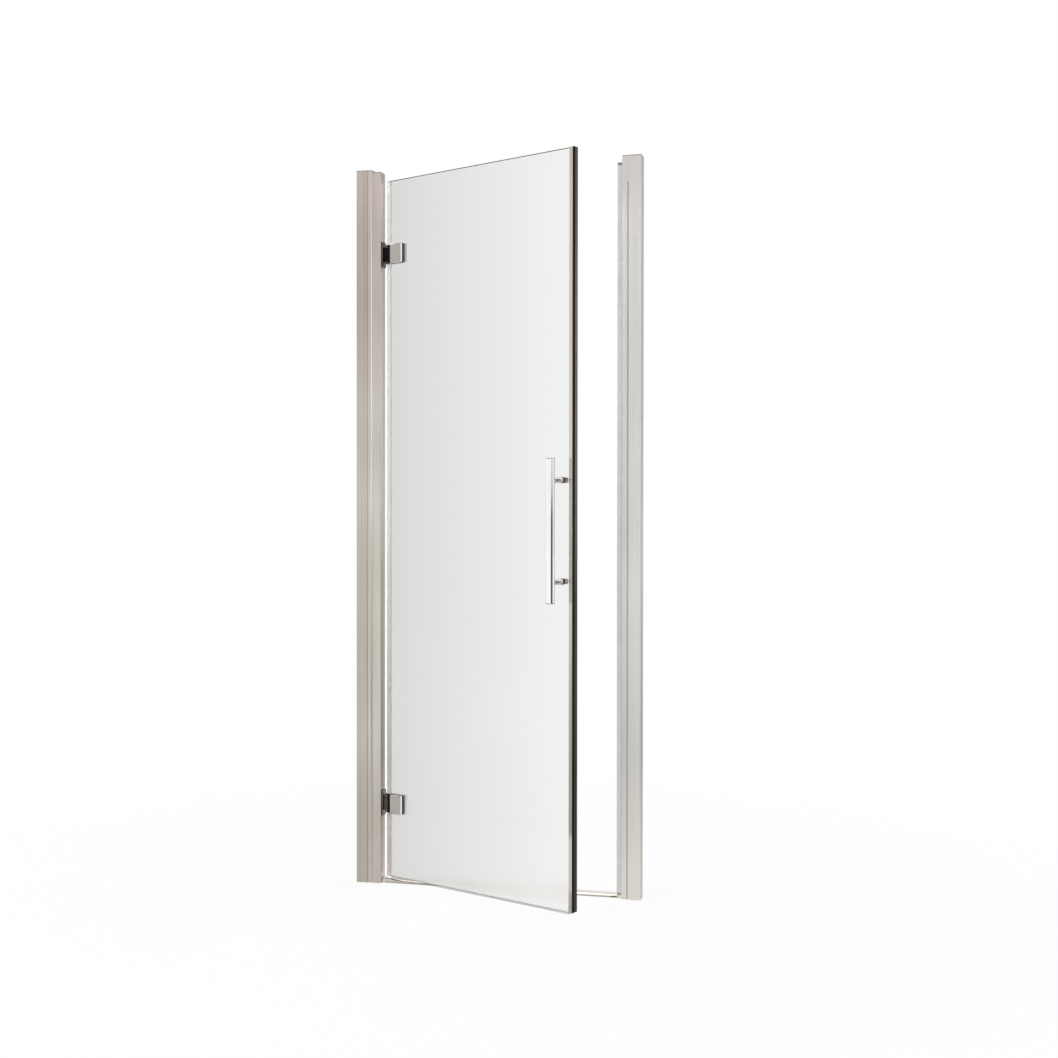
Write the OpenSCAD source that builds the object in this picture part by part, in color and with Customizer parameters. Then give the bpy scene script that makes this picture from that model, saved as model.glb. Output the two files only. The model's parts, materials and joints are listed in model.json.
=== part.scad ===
// Hinged shower door for an alcove: two wall posts, a low threshold and one glass leaf
// that swings outwards on two hinges.
// Origin: middle of the doorway's overall width, on the tray, in the plane of the hinge axis.
// +X runs to the latch side, +Y runs into the shower and +Z is up.

/* [Frame] */
// Overall width across both wall channels
frame_w = 750; // [700:5:900]
// Height of the frame above the tray
frame_h = 1850; // [1750:10:2000]
// Depth of the wall channels, front to back
frame_d = 35; // [34:1:42]
// Radius of the outer corners of the extruded profiles
profile_r = 1; // [0.5:0.1:1.4]

/* [Wall channels] */
// Width of a wall channel's front leg
channel_w = 30; // [28:1:34]
// Thickness of the legs
channel_wall = 1.8; // [1.5:0.1:2.4]
// Thickness of the web that lies on the wall
channel_web = 2.4; // [2:0.1:3]
// Diameter of the wall fixing holes
wall_hole_d = 6.5; // [5:0.5:8]
// Number of wall fixing holes in a channel
wall_hole_count = 4; // [2:1:6]
// Height of the end holes from each end of the frame
wall_hole_end = 100; // [60:10:200]
// Thickness of the plates that close the tops of the posts
cap_t = 2; // [1.5:0.5:4]
// Length of the plug under each of those plates
cap_plug = 8; // [4:1:12]
// Width of the plug in a jamb
cap_plug_w = 8; // [6:1:9]

/* [Jambs] */
// Width of a jamb, most of it inside its channel
jamb_w = 32.5; // [31:0.5:34]
// Wall of a jamb
jamb_wall = 1.6; // [1.4:0.1:2]
// Radius of a jamb's corners
jamb_r = 3; // [1:0.5:3]
// Gap between a jamb and its channel
slide_gap = 0.3; // [0.1:0.1:0.5]
// How far the hinge jamb stands out of its channel
hinge_jamb_out = 12.5; // [11:0.5:20]
// How far the strike jamb stands out of its channel
strike_jamb_out = 19.2; // [11.7:0.5:21.7]
// Width of the decorative groove
groove_w = 4; // [2:0.5:5]
// Depth of the decorative groove
groove_d = 3; // [1:0.5:4]
// Distance of the groove from the jamb's end
groove_in = 13.7; // [12.7:0.5:14.7]
// Length of the piece that fills the strike jamb's groove under the cap
infill_h = 64; // [20:2:100]
// Width of the slot that holds the hinge post or the strike seal
slot_w = 6; // [4:0.5:8]
// Play of the parts that slide or clip into one another
fit_gap = 0.2; // [0.1:0.05:0.3]
// How far a tongue's head reaches past its slot, on each side
tongue_lip = 2; // [1:0.5:3]
// Thickness of a tongue's head
tongue_t = 2; // [1:0.5:3]

/* [Jamb fixing screws] */
// Diameter of the screw shank
fixing_d = 4; // [3:0.5:5]
// Length of the screw shank
fixing_len = 10; // [6:1:14]
// Diameter of the screw head
fixing_head_d = 8; // [7:0.5:9]
// Thickness of the screw head
fixing_head_t = 2.4; // [1.5:0.1:3]
// Distance of the screws from the wall
fixing_x = 22; // [18:1:24]
// Number of screws in a post
fixing_count = 3; // [2:1:5]
// Height of the end screws from each end of the frame
fixing_end = 150; // [120:10:250]
// Wall of the cover cap over a screw head
cover_wall = 1.6; // [1:0.1:2]

/* [Hinge post] */
// Width of the hinge post
post_w = 24; // [20:1:28]
// Depth of the hinge post
post_d = 32; // [28:1:33]
// Wall of the hinge post
post_wall = 2; // [1.8:0.1:2.6]
// Thickness of the wall that carries the hinges
post_anchor = 4; // [3:0.5:6]
// How far the post's top lies below the top of the frame
post_drop = 5.5; // [4:0.5:20]

/* [Strike seal] */
// How far the strike seal stands out of the jamb
seal_out = 12.5; // [9:0.1:14]
// Width of the strike seal, front to back
seal_t = 20; // [18:1:26]
// Radius of the strike seal's corners
seal_r = 1.5; // [0.5:0.1:2.5]
// How far its top lies below the top of the frame
seal_drop = 16; // [8:1:30]
// Height of the plug that closes its top
seal_plug_h = 7; // [3:0.5:12]
// Thickness of the seal's face over the magnet
seal_skin = 1; // [0.6:0.1:2]
// Width of the magnet bars
magnet_w = 7.6; // [5:0.1:9]
// Thickness of the strike magnet bar
strike_magnet_t = 3.6; // [2:0.1:4]

/* [Threshold] */
// Depth of the half-round threshold, which is twice its height
threshold_d = 24; // [20:1:28]
// Wall of the threshold
threshold_wall = 2.2; // [1.6:0.1:3]
// Length of the end caps
end_cap_len = 8; // [6:1:14]
// Thickness of the end caps' skin
end_cap_skin = 0.8; // [0.6:0.1:1.2]
// Thickness of the end caps' end wall
end_cap_wall = 1.6; // [1:0.1:2]

/* [Leaf] */
// Angle at which the leaf stands open in the stored pose
open_angle = 24; // [0:0.2:65]
// Thickness of the glass
glass_t = 6; // [5:1:8]
// Height of the glass above the tray
bottom_gap = 18.5; // [16.5:0.5:26]
// Distance from the glass to the top of the frame
top_gap = 28.5; // [20:0.5:40]
// Gap between the two magnet strips with the leaf shut
meet_gap = 0.7; // [0.5:0.1:2]

/* [Hinges] */
// Distance from the hinge post's face to the hinge axis
pivot_off = 14; // [13:0.5:18]
// Distance from the hinge axis to the edge of the glass
edge_off = 4; // [3:0.5:6]
// Distance of each hinge's centre from the end of the glass
hinge_inset = 190; // [120:5:300]
// Diameter of the hinge pin
pin_d = 8; // [6:0.5:8]
// Running gap between the pin and its bushes, on the radius
run_gap = 0.05; // [0.02:0.01:0.1]
// Wall of the bushes
bush_wall = 1; // [0.8:0.1:1.2]
// Length of each bush
bush_len = 12; // [8:1:15]
// Thickness of the bushes' flange
flange_t = 0.8; // [0.6:0.1:1.5]
// Gap between a flange and the fork
fork_gap = 0.2; // [0.1:0.05:0.4]
// Radius of the knuckle's nose
knuckle_r = 6.5; // [6.2:0.1:7]
// Gap between the fixed nose and the moving fork
swing_gap = 0.8; // [0.5:0.1:1.2]
// Height of the fork
fork_h = 48; // [44:1:48]
// Thickness of the fork's ears
ear_t = 4; // [3:0.5:5]
// Thickness of the fork, front to back
fork_t = 18; // [14:1:18]
// Height of the wall plate
plate_h = 66; // [62:1:80]
// Depth of the wall plate
plate_d = 25; // [24:1:25]
// Thickness of the wall plate
plate_t = 4; // [3.5:0.5:4]
// Radius of the wall plate's corners
plate_r = 3; // [0.5:0.5:4]
// Distance from the hinge axis to the clamp plates
clamp_start = 16; // [13.5:0.5:18]
// Width of the clamp plates
clamp_w = 42; // [38:1:55]
// Height of the clamp plates
clamp_h = 50; // [49:1:60]
// Thickness of the clamp plates
clamp_t = 7.6; // [6:0.2:8]
// Radius of the clamp plates' free corners
clamp_r = 3; // [1:0.5:6]
// Thickness of the gaskets on the glass
gasket_t = 1; // [0.5:0.1:1.5]
// Width of the boss that passes through the glass
boss_w = 22; // [18:1:26]
// Height of the boss that passes through the glass
boss_h = 26; // [24:1:34]
// Gap between the glass and what passes through it
glass_clear = 1; // [0.5:0.1:1.5]
// Diameter of the hinge screws
screw_d = 5; // [4:0.5:6]
// Diameter of the hinge screws' countersunk head
screw_head_d = 9.4; // [8.6:0.2:10]
// Length of the screws in the hinge post
plate_screw_len = 14; // [10:1:16]
// Distance between the screws across a wall plate
plate_screw_y = 14; // [12:1:14]
// Distance from a wall plate's end to its screws
plate_screw_end = 6.5; // [5.5:0.5:7.5]
// Distance between a clamp's two screws
clamp_screw_z = 14; // [12:1:16]
// Metal left in front of the clamp screws' tips
clamp_screw_skin = 3; // [2:0.5:4]

/* [Edge seals] */
// Length of the hinge seal's legs on the glass
edge_leg = 7; // [6:0.1:9.8]
// Thickness of the clear seals' walls
seal_wall = 1.2; // [0.8:0.1:1.4]
// How far the hinge seal's bulb stands past the glass
bulb_out = 5.5; // [4.5:0.1:6]
// Thickness of the seals' flexible fins
fin_t = 0.8; // [0.5:0.1:1.2]
// Gap between the hinge seal's fin and the post with the leaf shut
fin_gap = 0.8; // [0.6:0.1:2]
// How far the fin leans into the shower
fin_back = 12; // [10:0.5:14]
// Height of the drip seal's legs on the glass
drip_leg = 10; // [6:1:16]
// Gap between the drip seal's fin and the threshold
drip_gap = 1.5; // [1:0.1:3]
// Length of the latch profile's legs on the glass
carrier_leg = 8; // [6:0.5:14]
// Thickness of the latch profile's web
carrier_web = 1.5; // [1:0.1:2]
// Thickness of the latch profile, front to back
carrier_t = 12; // [11:0.5:16]
// How far the dark magnet gasket stands out of the latch profile
gasket_out = 4; // [3.5:0.1:6]
// Wall of the magnet gasket over its magnet
gasket_skin = 0.8; // [0.5:0.1:1]
// How much further the magnet gasket reaches on the inner side than its profile
gasket_back = 4; // [0:0.5:4]
// How far the magnet gasket ends above the foot of the glass
gasket_lift = 3; // [0:0.5:6]
// Radius of the corners of the latch profile and its gasket
latch_r = 0.8; // [0.3:0.1:1]

/* [Handle] */
// Diameter of the bar
bar_d = 22; // [18:1:26]
// Length of the bar
bar_len = 338; // [300:1:600]
// Wall of the bar
bar_wall = 2; // [1.5:0.5:3]
// Distance from the glass to the bar's axis
bar_standoff = 44; // [38:1:60]
// Distance between the two posts
bar_posts = 240; // [180:5:280]
// Height of the handle's centre above the middle of the glass
bar_rise = 0; // [-200:10:200]
// Distance from the posts to the latch edge of the glass
bar_inset = 32; // [28:1:80]
// Diameter of the posts
bar_post_d = 14; // [12:0.5:16]
// Diameter of the washers
washer_d = 16; // [14:0.5:18]
// Thickness of the washers
washer_t = 1.5; // [1:0.1:3]
// Diameter of the studs
stud_d = 6; // [5:0.5:7]
// How far a stud reaches into the bar
stud_in = 3; // [1:0.5:5]
// Diameter of the holes in the glass
glass_hole_d = 10; // [9:0.5:11]
// Length of the caps on the inner side
rear_cap_len = 14; // [10:1:24]
// Metal left over a stud's tip in its cap
rear_cap_skin = 4; // [2:0.5:6]
// Thickness of the bar's end plates
bar_end_t = 2; // [1:0.5:4]
// Length of the spigot under each end plate
bar_end_plug = 8; // [4:1:14]
// Chamfer on the ends of the bar and of the rear caps
handle_edge = 0.8; // [0.3:0.1:0.9]

/* [Hidden] */
$fn = 48;
// Overlap of pieces of one solid, and overrun of cutters
eps = 0.5;

satin = "#b8b0a6";
pale_satin = "#c8c4be";
chrome = "#d0d0d2";
dark_chrome = "#77726f";
clear = "#d8e0dc";
black = "#2b2624";
grey = "#8f8b86";

// Stack heights of the posts
channel_h = frame_h - cap_t;
post_h = frame_h - post_drop - cap_t;
jamb_d = frame_d - 2 * (channel_wall + slide_gap);
hinge_jamb_end = channel_w + hinge_jamb_out;
strike_jamb_end = channel_w + strike_jamb_out;

// Doorway between the hinge post and the strike seal
post_face_x = -frame_w / 2 + hinge_jamb_end + post_w;
seal_face_x = frame_w / 2 - strike_jamb_end - seal_out;
jamb_face_x = frame_w / 2 - strike_jamb_end;
pivot_x = post_face_x + pivot_off;

// Leaf, measured from the hinge axis with the leaf shut
latch_reach = carrier_web + gasket_out;
glass_end = seal_face_x - pivot_x - meet_gap - latch_reach;
glass_w = glass_end - edge_off;
glass_top = frame_h - top_gap;
glass_mid = (bottom_gap + glass_top) / 2;
lower_hinge_z = bottom_gap + hinge_inset;
upper_hinge_z = glass_top - hinge_inset;
half_glass = glass_t / 2;

// Hinge details
pin_r = pin_d / 2;
bush_r = pin_r + run_gap + bush_wall;
block_h = fork_h - 2 * (ear_t + flange_t + fork_gap);
fork_start = knuckle_r + swing_gap;
clamp_in = half_glass + gasket_t;
clamp_out = clamp_in + clamp_t;
screw_r = screw_d / 2;
head_r = screw_head_d / 2;
boss_end = clamp_start + boss_w;
clamp_screw_x = clamp_start + boss_w / 2;
notch_h = fork_h + 2 * glass_clear;

// Seals
bulb_r = half_glass + fit_gap + seal_wall;
bulb_x = edge_off + bulb_r - bulb_out;
fin_dx = bulb_x + pivot_off - fin_gap;
threshold_r = threshold_d / 2;
threshold_y = frame_d / 2 - threshold_r;
seal_foot = threshold_r + end_cap_skin + slide_gap;
seal_top = frame_h - seal_drop - seal_plug_h;

// Handle
bar_r = bar_d / 2;
bar_x = glass_end - bar_inset;
bar_y = -half_glass - bar_standoff;
bar_z = glass_mid + bar_rise;
stud_r = stud_d / 2;
rear_y = half_glass + washer_t;

// Box between two opposite corners
module block(from, to) {
    translate(from) cube(to - from);
}

// Flat shapes that start at X = 0 and lie evenly about Y = 0: a rectangle, one with four
// round corners and one with round corners only at its far end
module bar_rect(w, h) {
    translate([0, -h / 2]) square([w, h]);
}
module round_rect(w, h, r) {
    translate([r, 0]) bar_rect(w - 2 * r, h);
    bar_rect(w, h - 2 * r);
    for (x = [r, w - r], y = [r - h / 2, h / 2 - r])
        translate([x, y]) circle(r);
}
module nose_rect(w, h, r) {
    bar_rect(w - r, h);
    bar_rect(w, h - 2 * r);
    for (y = [r - h / 2, h / 2 - r])
        translate([w - r, y]) circle(r);
}

// Heights of a row of fixings spread over the frame
function row(count, end_gap) =
    [for (i = [0 : count - 1]) end_gap + i * (frame_h - 2 * end_gap) / (count - 1)];

// Places its children in the coordinates of either wall face
module hinge_side() {
    translate([-frame_w / 2, 0, 0]) children();
}
module strike_side() {
    mirror([1, 0, 0]) translate([-frame_w / 2, 0, 0]) children();
}

// Places its children on the leaf: the hinge axis is X = Y = 0 and the shut leaf runs along +X
module leaf() {
    translate([pivot_x, 0, 0]) rotate([0, 0, -open_angle]) children();
}

// Outlines of a wall channel and of a jamb, seen from above
module channel_outline() {
    translate([channel_w, 0]) mirror([1, 0]) nose_rect(channel_w, frame_d, profile_r);
}
module jamb_outline(jamb_end) {
    translate([jamb_end - jamb_w, 0]) round_rect(jamb_w, jamb_d, jamb_r);
}

// Wall channel with the open side towards the doorway
module wall_channel() {
    difference() {
        linear_extrude(channel_h) difference() {
            channel_outline();
            translate([channel_web, 0]) bar_rect(channel_w, frame_d - 2 * channel_wall);
        }
        for (z = row(wall_hole_count, wall_hole_end))
            translate([-eps, 0, z]) rotate([0, 90, 0])
                cylinder(d = wall_hole_d, h = channel_web + 2 * eps);
        fixing_holes(fixing_d / 2 + fit_gap);
    }
}

// Holes for the screws that lock the jamb in its channel
module fixing_holes(r) {
    for (z = row(fixing_count, fixing_end))
        translate([fixing_x, frame_d / 2 + eps, z]) rotate([90, 0, 0])
            cylinder(r = r, h = fixing_len + eps);
}

// Jamb that slides in the channel, ending at jamb_end from the wall
module jamb(jamb_end) {
    groove_x = jamb_end - groove_in - groove_w;
    front = -jamb_d / 2;
    difference() {
        linear_extrude(channel_h) difference() {
            union() {
                difference() {
                    jamb_outline(jamb_end);
                    translate([jamb_end - jamb_w + jamb_wall, 0])
                        bar_rect(jamb_w - 2 * jamb_wall, jamb_d - 2 * jamb_wall);
                }
                translate([groove_x - jamb_wall, front])
                    square([groove_w + 2 * jamb_wall, groove_d + jamb_wall]);
            }
            translate([groove_x, front - eps]) square([groove_w, groove_d + eps]);
            translate([jamb_end - jamb_wall - eps, 0]) bar_rect(jamb_wall + 2 * eps, slot_w);
        }
        fixing_holes(fixing_d / 2);
    }
}

// Tongue that slides down a jamb's slot, seen from above with the jamb's end face at X = 0
module tongue() {
    behind = -jamb_wall - fit_gap;
    translate([behind - eps, 0]) bar_rect(2 * eps - behind, slot_w - 2 * fit_gap);
    translate([behind - tongue_t, 0]) bar_rect(tongue_t, slot_w + 2 * tongue_lip);
}

module hinge_wall_channel() { color(satin) hinge_side() wall_channel(); }
module strike_wall_channel() { color(pale_satin) strike_side() wall_channel(); }
module hinge_jamb() { color(satin) hinge_side() jamb(hinge_jamb_end); }
module strike_jamb() { color(pale_satin) strike_side() jamb(strike_jamb_end); }

// Plate over a channel and its jamb, with a plug in the jamb
module channel_cap(jamb_end) {
    plug_x = jamb_end - jamb_w + jamb_wall + fit_gap;
    plug_y = jamb_d / 2 - jamb_wall - fit_gap;
    translate([0, 0, channel_h]) linear_extrude(cap_t) {
        channel_outline();
        jamb_outline(jamb_end);
    }
    block([plug_x, -plug_y, channel_h - cap_plug], [plug_x + cap_plug_w, plug_y, channel_h + eps]);
}
module hinge_channel_cap() { color(satin) hinge_side() channel_cap(hinge_jamb_end); }
module strike_channel_cap() { color(pale_satin) strike_side() channel_cap(strike_jamb_end); }

// Outline of the hinge post
module post_outline() {
    round_rect(post_w, post_d, profile_r);
}

// Hollow post that carries the hinges
module hinge_post() {
    color(satin) translate([post_face_x - post_w, 0, 0]) difference() {
        linear_extrude(post_h) {
            difference() {
                post_outline();
                translate([post_wall, 0])
                    bar_rect(post_w - post_wall - post_anchor, post_d - 2 * post_wall);
            }
            tongue();
        }
        translate([post_w + pivot_off, 0, 0]) for (z = [lower_hinge_z, upper_hinge_z])
            translate([0, 0, z]) plate_screws_at()
                cylinder(r = screw_r, h = plate_screw_len + eps);
    }
}

module hinge_post_cap() {
    plug_y = post_d / 2 - post_wall - fit_gap;
    color(satin) translate([post_face_x - post_w, 0, 0]) {
        translate([0, 0, post_h]) linear_extrude(cap_t) post_outline();
        block([post_wall + fit_gap, -plug_y, post_h - cap_plug],
              [post_w - post_anchor - fit_gap, plug_y, post_h + eps]);
    }
}

module groove_infill() {
    color(pale_satin) strike_side()
        translate([strike_jamb_end - groove_in - groove_w + fit_gap / 2, -jamb_d / 2,
                   channel_h - infill_h])
            cube([groove_w - fit_gap, groove_d, infill_h]);
}

// Pale strip on the strike jamb that the leaf shuts against
module strike_seal() {
    color(pale_satin) strike_side() translate([strike_jamb_end, 0, seal_foot])
        linear_extrude(seal_top - seal_foot) {
            difference() {
                nose_rect(seal_out, seal_t, seal_r);
                translate([seal_out - seal_skin - strike_magnet_t, 0])
                    bar_rect(strike_magnet_t, magnet_w + 2 * fit_gap);
            }
            tongue();
        }
}

module strike_seal_plug() {
    color(dark_chrome) strike_side() translate([strike_jamb_end, 0, seal_top])
        linear_extrude(seal_plug_h) nose_rect(seal_out, seal_t, seal_r);
}

module strike_magnet() {
    magnet_to = strike_jamb_end + seal_out - seal_skin;
    color(black) strike_side()
        block([magnet_to - strike_magnet_t, -magnet_w / 2, seal_foot],
              [magnet_to, magnet_w / 2, seal_top]);
}

// Runs its children at every jamb fixing screw, with Z out of the post's back
module at_fixings() {
    for (z = row(fixing_count, fixing_end)) {
        hinge_side() translate([fixing_x, frame_d / 2, z]) rotate([-90, 0, 0]) children();
        strike_side() translate([fixing_x, frame_d / 2, z]) rotate([-90, 0, 0]) children();
    }
}

module jamb_fixing_screws() {
    color(chrome) at_fixings() {
        cylinder(d = fixing_head_d, h = fixing_head_t);
        translate([0, 0, -fixing_len]) cylinder(d = fixing_d, h = fixing_len + eps);
    }
}

module screw_cover_caps() {
    color(satin) at_fixings() difference() {
        cylinder(d = fixing_head_d + 2 * (fit_gap + cover_wall), h = fixing_head_t + cover_wall);
        translate([0, 0, -eps])
            cylinder(d = fixing_head_d + 2 * fit_gap, h = fixing_head_t + eps);
    }
}

// Half-round bar along X, from x0 to x1, raised by lift
module half_round(r, x0, x1, lift) {
    translate([x0, threshold_y, lift]) rotate([90, 0, 90]) linear_extrude(x1 - x0)
        intersection() {
            circle(r);
            translate([-r - eps, 0]) square([2 * (r + eps), r + eps]);
        }
}

module threshold_bar() {
    x0 = post_face_x + end_cap_wall;
    x1 = jamb_face_x - end_cap_wall;
    color(satin) difference() {
        half_round(threshold_r, x0, x1, 0);
        half_round(threshold_r - threshold_wall, x0 - eps, x1 + eps, threshold_wall / 2);
    }
}

// Cap over one end of the threshold, from the face at X = 0
module end_cap() {
    difference() {
        half_round(threshold_r + end_cap_skin, 0, end_cap_len, 0);
        half_round(threshold_r + fit_gap / 2, end_cap_wall, end_cap_len + eps, 0);
        translate([end_cap_wall, threshold_y - threshold_r - fit_gap / 2, -eps])
            cube([end_cap_len, threshold_d + fit_gap, 2 * eps]);
    }
}

module threshold_end_caps() {
    color(pale_satin) {
        translate([post_face_x, 0, 0]) end_cap();
        translate([jamb_face_x, 0, 0]) mirror([1, 0, 0]) end_cap();
    }
}

// Runs its children at a wall plate's screws, with +Z into the post
module plate_screws_at() {
    for (y = [-plate_screw_y / 2, plate_screw_y / 2],
         z = [-1, 1] * (plate_h / 2 - plate_screw_end))
        translate([plate_t - pivot_off, y, z]) rotate([0, -90, 0]) children();
}

// Countersunk screw, its head flush at Z = 0 and its tip at Z = len
module countersunk(len) {
    cylinder(r1 = head_r, r2 = screw_r, h = head_r - screw_r);
    cylinder(r = screw_r, h = len);
}

// Fixed half of a hinge: a plate on the post and a knuckle with the bore for the bushes
module wall_plate(z) {
    color(dark_chrome) translate([pivot_x, 0, z]) difference() {
        union() {
            translate([-pivot_off, 0, -plate_h / 2]) rotate([0, 0, 90]) rotate([90, 0, 0])
                linear_extrude(plate_t) rotate(90) round_rect(plate_h, plate_d, plate_r);
            block([-pivot_off, -knuckle_r, -block_h / 2], [0, knuckle_r, block_h / 2]);
            translate([0, 0, -block_h / 2]) cylinder(r = knuckle_r, h = block_h);
        }
        translate([0, 0, -block_h / 2 - eps]) cylinder(r = bush_r, h = block_h + 2 * eps);
        plate_screws_at() countersunk(plate_t + eps);
    }
}
module lower_wall_plate() { wall_plate(lower_hinge_z); }
module upper_wall_plate() { wall_plate(upper_hinge_z); }

module plate_screws(z) {
    color(dark_chrome) translate([pivot_x, 0, z]) plate_screws_at()
        countersunk(plate_screw_len);
}
module lower_plate_screws() { plate_screws(lower_hinge_z); }
module upper_plate_screws() { plate_screws(upper_hinge_z); }

// Two flanged bushes in the knuckle
module hinge_bushes(z) {
    color(grey) translate([pivot_x, 0, z]) for (side = [0, 1])
        mirror([0, 0, side]) difference() {
            union() {
                translate([0, 0, block_h / 2 - bush_len])
                    cylinder(r = bush_r, h = bush_len);
                translate([0, 0, block_h / 2]) cylinder(r = knuckle_r, h = flange_t);
            }
            translate([0, 0, block_h / 2 - bush_len - eps])
                cylinder(r = pin_r + run_gap, h = bush_len + flange_t + 2 * eps);
        }
}
module lower_hinge_bushes() { hinge_bushes(lower_hinge_z); }
module upper_hinge_bushes() { hinge_bushes(upper_hinge_z); }

module hinge_pin(z) {
    color(chrome) leaf() translate([0, 0, z - fork_h / 2]) cylinder(r = pin_r, h = fork_h);
}
module lower_hinge_pin() { hinge_pin(lower_hinge_z); }
module upper_hinge_pin() { hinge_pin(upper_hinge_z); }

// Plate with its free corners rounded, between y0 and y1
module clamp_plate(y0, y1) {
    translate([clamp_start, y1, 0]) rotate([90, 0, 0]) linear_extrude(y1 - y0)
        nose_rect(clamp_w, clamp_h, clamp_r);
}

// Runs its children at a clamp's two screws, with +Z from the inner side to the outer side
module clamp_screws_at() {
    for (z = [-1, 1] * clamp_screw_z / 2)
        translate([clamp_screw_x, clamp_out, z]) rotate([90, 0, 0]) children();
}

clamp_screw_len = 2 * clamp_out - clamp_screw_skin;

// Moving half of a hinge: fork, outer plate and the boss through the glass
module hinge_clamp(z) {
    color(chrome) leaf() translate([0, 0, z]) difference() {
        union() {
            block([fork_start, -fork_t / 2, -fork_h / 2], [clamp_start, fork_t / 2, fork_h / 2]);
            for (side = [0, 1]) mirror([0, 0, side]) {
                translate([0, 0, fork_h / 2 - ear_t]) cylinder(r = knuckle_r, h = ear_t);
                block([0, -knuckle_r, fork_h / 2 - ear_t],
                      [fork_start + eps, knuckle_r, fork_h / 2]);
            }
            clamp_plate(-clamp_out, -clamp_in);
            block([clamp_start - eps, -clamp_in - eps, -boss_h / 2],
                  [boss_end, clamp_in, boss_h / 2]);
        }
        translate([0, 0, -fork_h / 2 - eps]) cylinder(r = pin_r, h = fork_h + 2 * eps);
        clamp_screws_at() cylinder(r = screw_r, h = clamp_screw_len);
    }
}
module lower_hinge_clamp() { hinge_clamp(lower_hinge_z); }
module upper_hinge_clamp() { hinge_clamp(upper_hinge_z); }

module back_plate(z) {
    color(chrome) leaf() translate([0, 0, z]) difference() {
        clamp_plate(clamp_in, clamp_out);
        clamp_screws_at() countersunk(clamp_t + eps);
    }
}
module lower_back_plate() { back_plate(lower_hinge_z); }
module upper_back_plate() { back_plate(upper_hinge_z); }

// Gaskets between the glass and the two plates
module clamp_gaskets(z) {
    color(grey) leaf() translate([0, 0, z]) for (y = [-clamp_in, half_glass]) difference() {
        clamp_plate(y, y + gasket_t);
        block([clamp_start - eps, y - eps, -boss_h / 2],
              [boss_end, y + gasket_t + eps, boss_h / 2]);
    }
}
module lower_clamp_gaskets() { clamp_gaskets(lower_hinge_z); }
module upper_clamp_gaskets() { clamp_gaskets(upper_hinge_z); }

module clamp_screws(z) {
    color(chrome) leaf() translate([0, 0, z]) clamp_screws_at() countersunk(clamp_screw_len);
}
module lower_clamp_screws() { clamp_screws(lower_hinge_z); }
module upper_clamp_screws() { clamp_screws(upper_hinge_z); }

// Runs its children at the handle's two posts, with +Z out of the shower
module at_handle_posts() {
    for (z = [bar_z - bar_posts / 2, bar_z + bar_posts / 2])
        translate([bar_x, 0, z]) rotate([90, 0, 0]) children();
}

// Cut-out for a hinge: a wide notch for the fork and a narrower one for the boss
module hinge_notch() {
    block([edge_off - eps, -glass_t, -notch_h / 2],
          [clamp_start + glass_clear, glass_t, notch_h / 2]);
    block([edge_off - eps, -glass_t, -boss_h / 2 - glass_clear],
          [boss_end + glass_clear, glass_t, boss_h / 2 + glass_clear]);
}

module glass_panel() {
    color(clear, 0.5) leaf() difference() {
        block([edge_off, -half_glass, bottom_gap], [glass_end, half_glass, glass_top]);
        for (z = [lower_hinge_z, upper_hinge_z]) translate([0, 0, z]) hinge_notch();
        at_handle_posts() translate([0, 0, -glass_t])
            cylinder(d = glass_hole_d, h = 2 * glass_t);
    }
}

// Stretches of the hinge seal that leave a gap at each hinge
function stretches(gap) = [
    [bottom_gap, lower_hinge_z - gap],
    [lower_hinge_z + gap, upper_hinge_z - gap],
    [upper_hinge_z + gap, glass_top]];

// Clip and bulb of the hinge seal, seen from above
module edge_seal_clip() {
    difference() {
        union() {
            translate([bulb_x, 0]) circle(bulb_r);
            translate([bulb_x, -bulb_r])
                square([edge_off + edge_leg - bulb_x, 2 * bulb_r]);
        }
        translate([bulb_x, 0]) circle(bulb_r - seal_wall);
        translate([edge_off, -half_glass - fit_gap / 2])
            square([edge_leg + eps, glass_t + fit_gap]);
    }
}

// Flexible fin of the hinge seal, seen from above
module edge_seal_fin() {
    fin_start = bulb_r - seal_wall / 2;
    fin_end = norm([fin_dx, fin_back]);
    translate([bulb_x, 0]) rotate(atan2(fin_back, -fin_dx))
        translate([fin_start, -fin_t / 2]) square([fin_end - fin_start, fin_t]);
}

module hinge_edge_seal() {
    color(clear, 0.6) leaf() {
        for (s = stretches(notch_h / 2))
            translate([0, 0, s[0]]) linear_extrude(s[1] - s[0]) edge_seal_clip();
        for (s = stretches(plate_h / 2 + glass_clear))
            translate([0, 0, s[0]]) linear_extrude(s[1] - s[0]) edge_seal_fin();
    }
}

module bottom_drip_seal() {
    x0 = edge_off + edge_leg + glass_clear;
    x1 = glass_end - carrier_leg - glass_clear;
    y = half_glass + fit_gap / 2;
    color(clear, 0.6) leaf() {
        difference() {
            block([x0, -y - seal_wall, bottom_gap - seal_wall],
                  [x1, y + seal_wall, bottom_gap + drip_leg]);
            block([x0 - eps, -y, bottom_gap], [x1 + eps, y, bottom_gap + drip_leg + eps]);
        }
        block([x0, -fin_t / 2, threshold_r + drip_gap],
              [x1, fin_t / 2, bottom_gap - seal_wall + eps / 2]);
    }
}

// Silver profile clipped over the latch edge of the glass
module latch_profile() {
    color(satin) leaf() translate([glass_end - carrier_leg, 0, bottom_gap])
        linear_extrude(glass_top - bottom_gap) difference() {
            nose_rect(carrier_leg + carrier_web, carrier_t, latch_r);
            translate([-eps, 0]) bar_rect(carrier_leg + eps, glass_t + fit_gap);
        }
}

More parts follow.
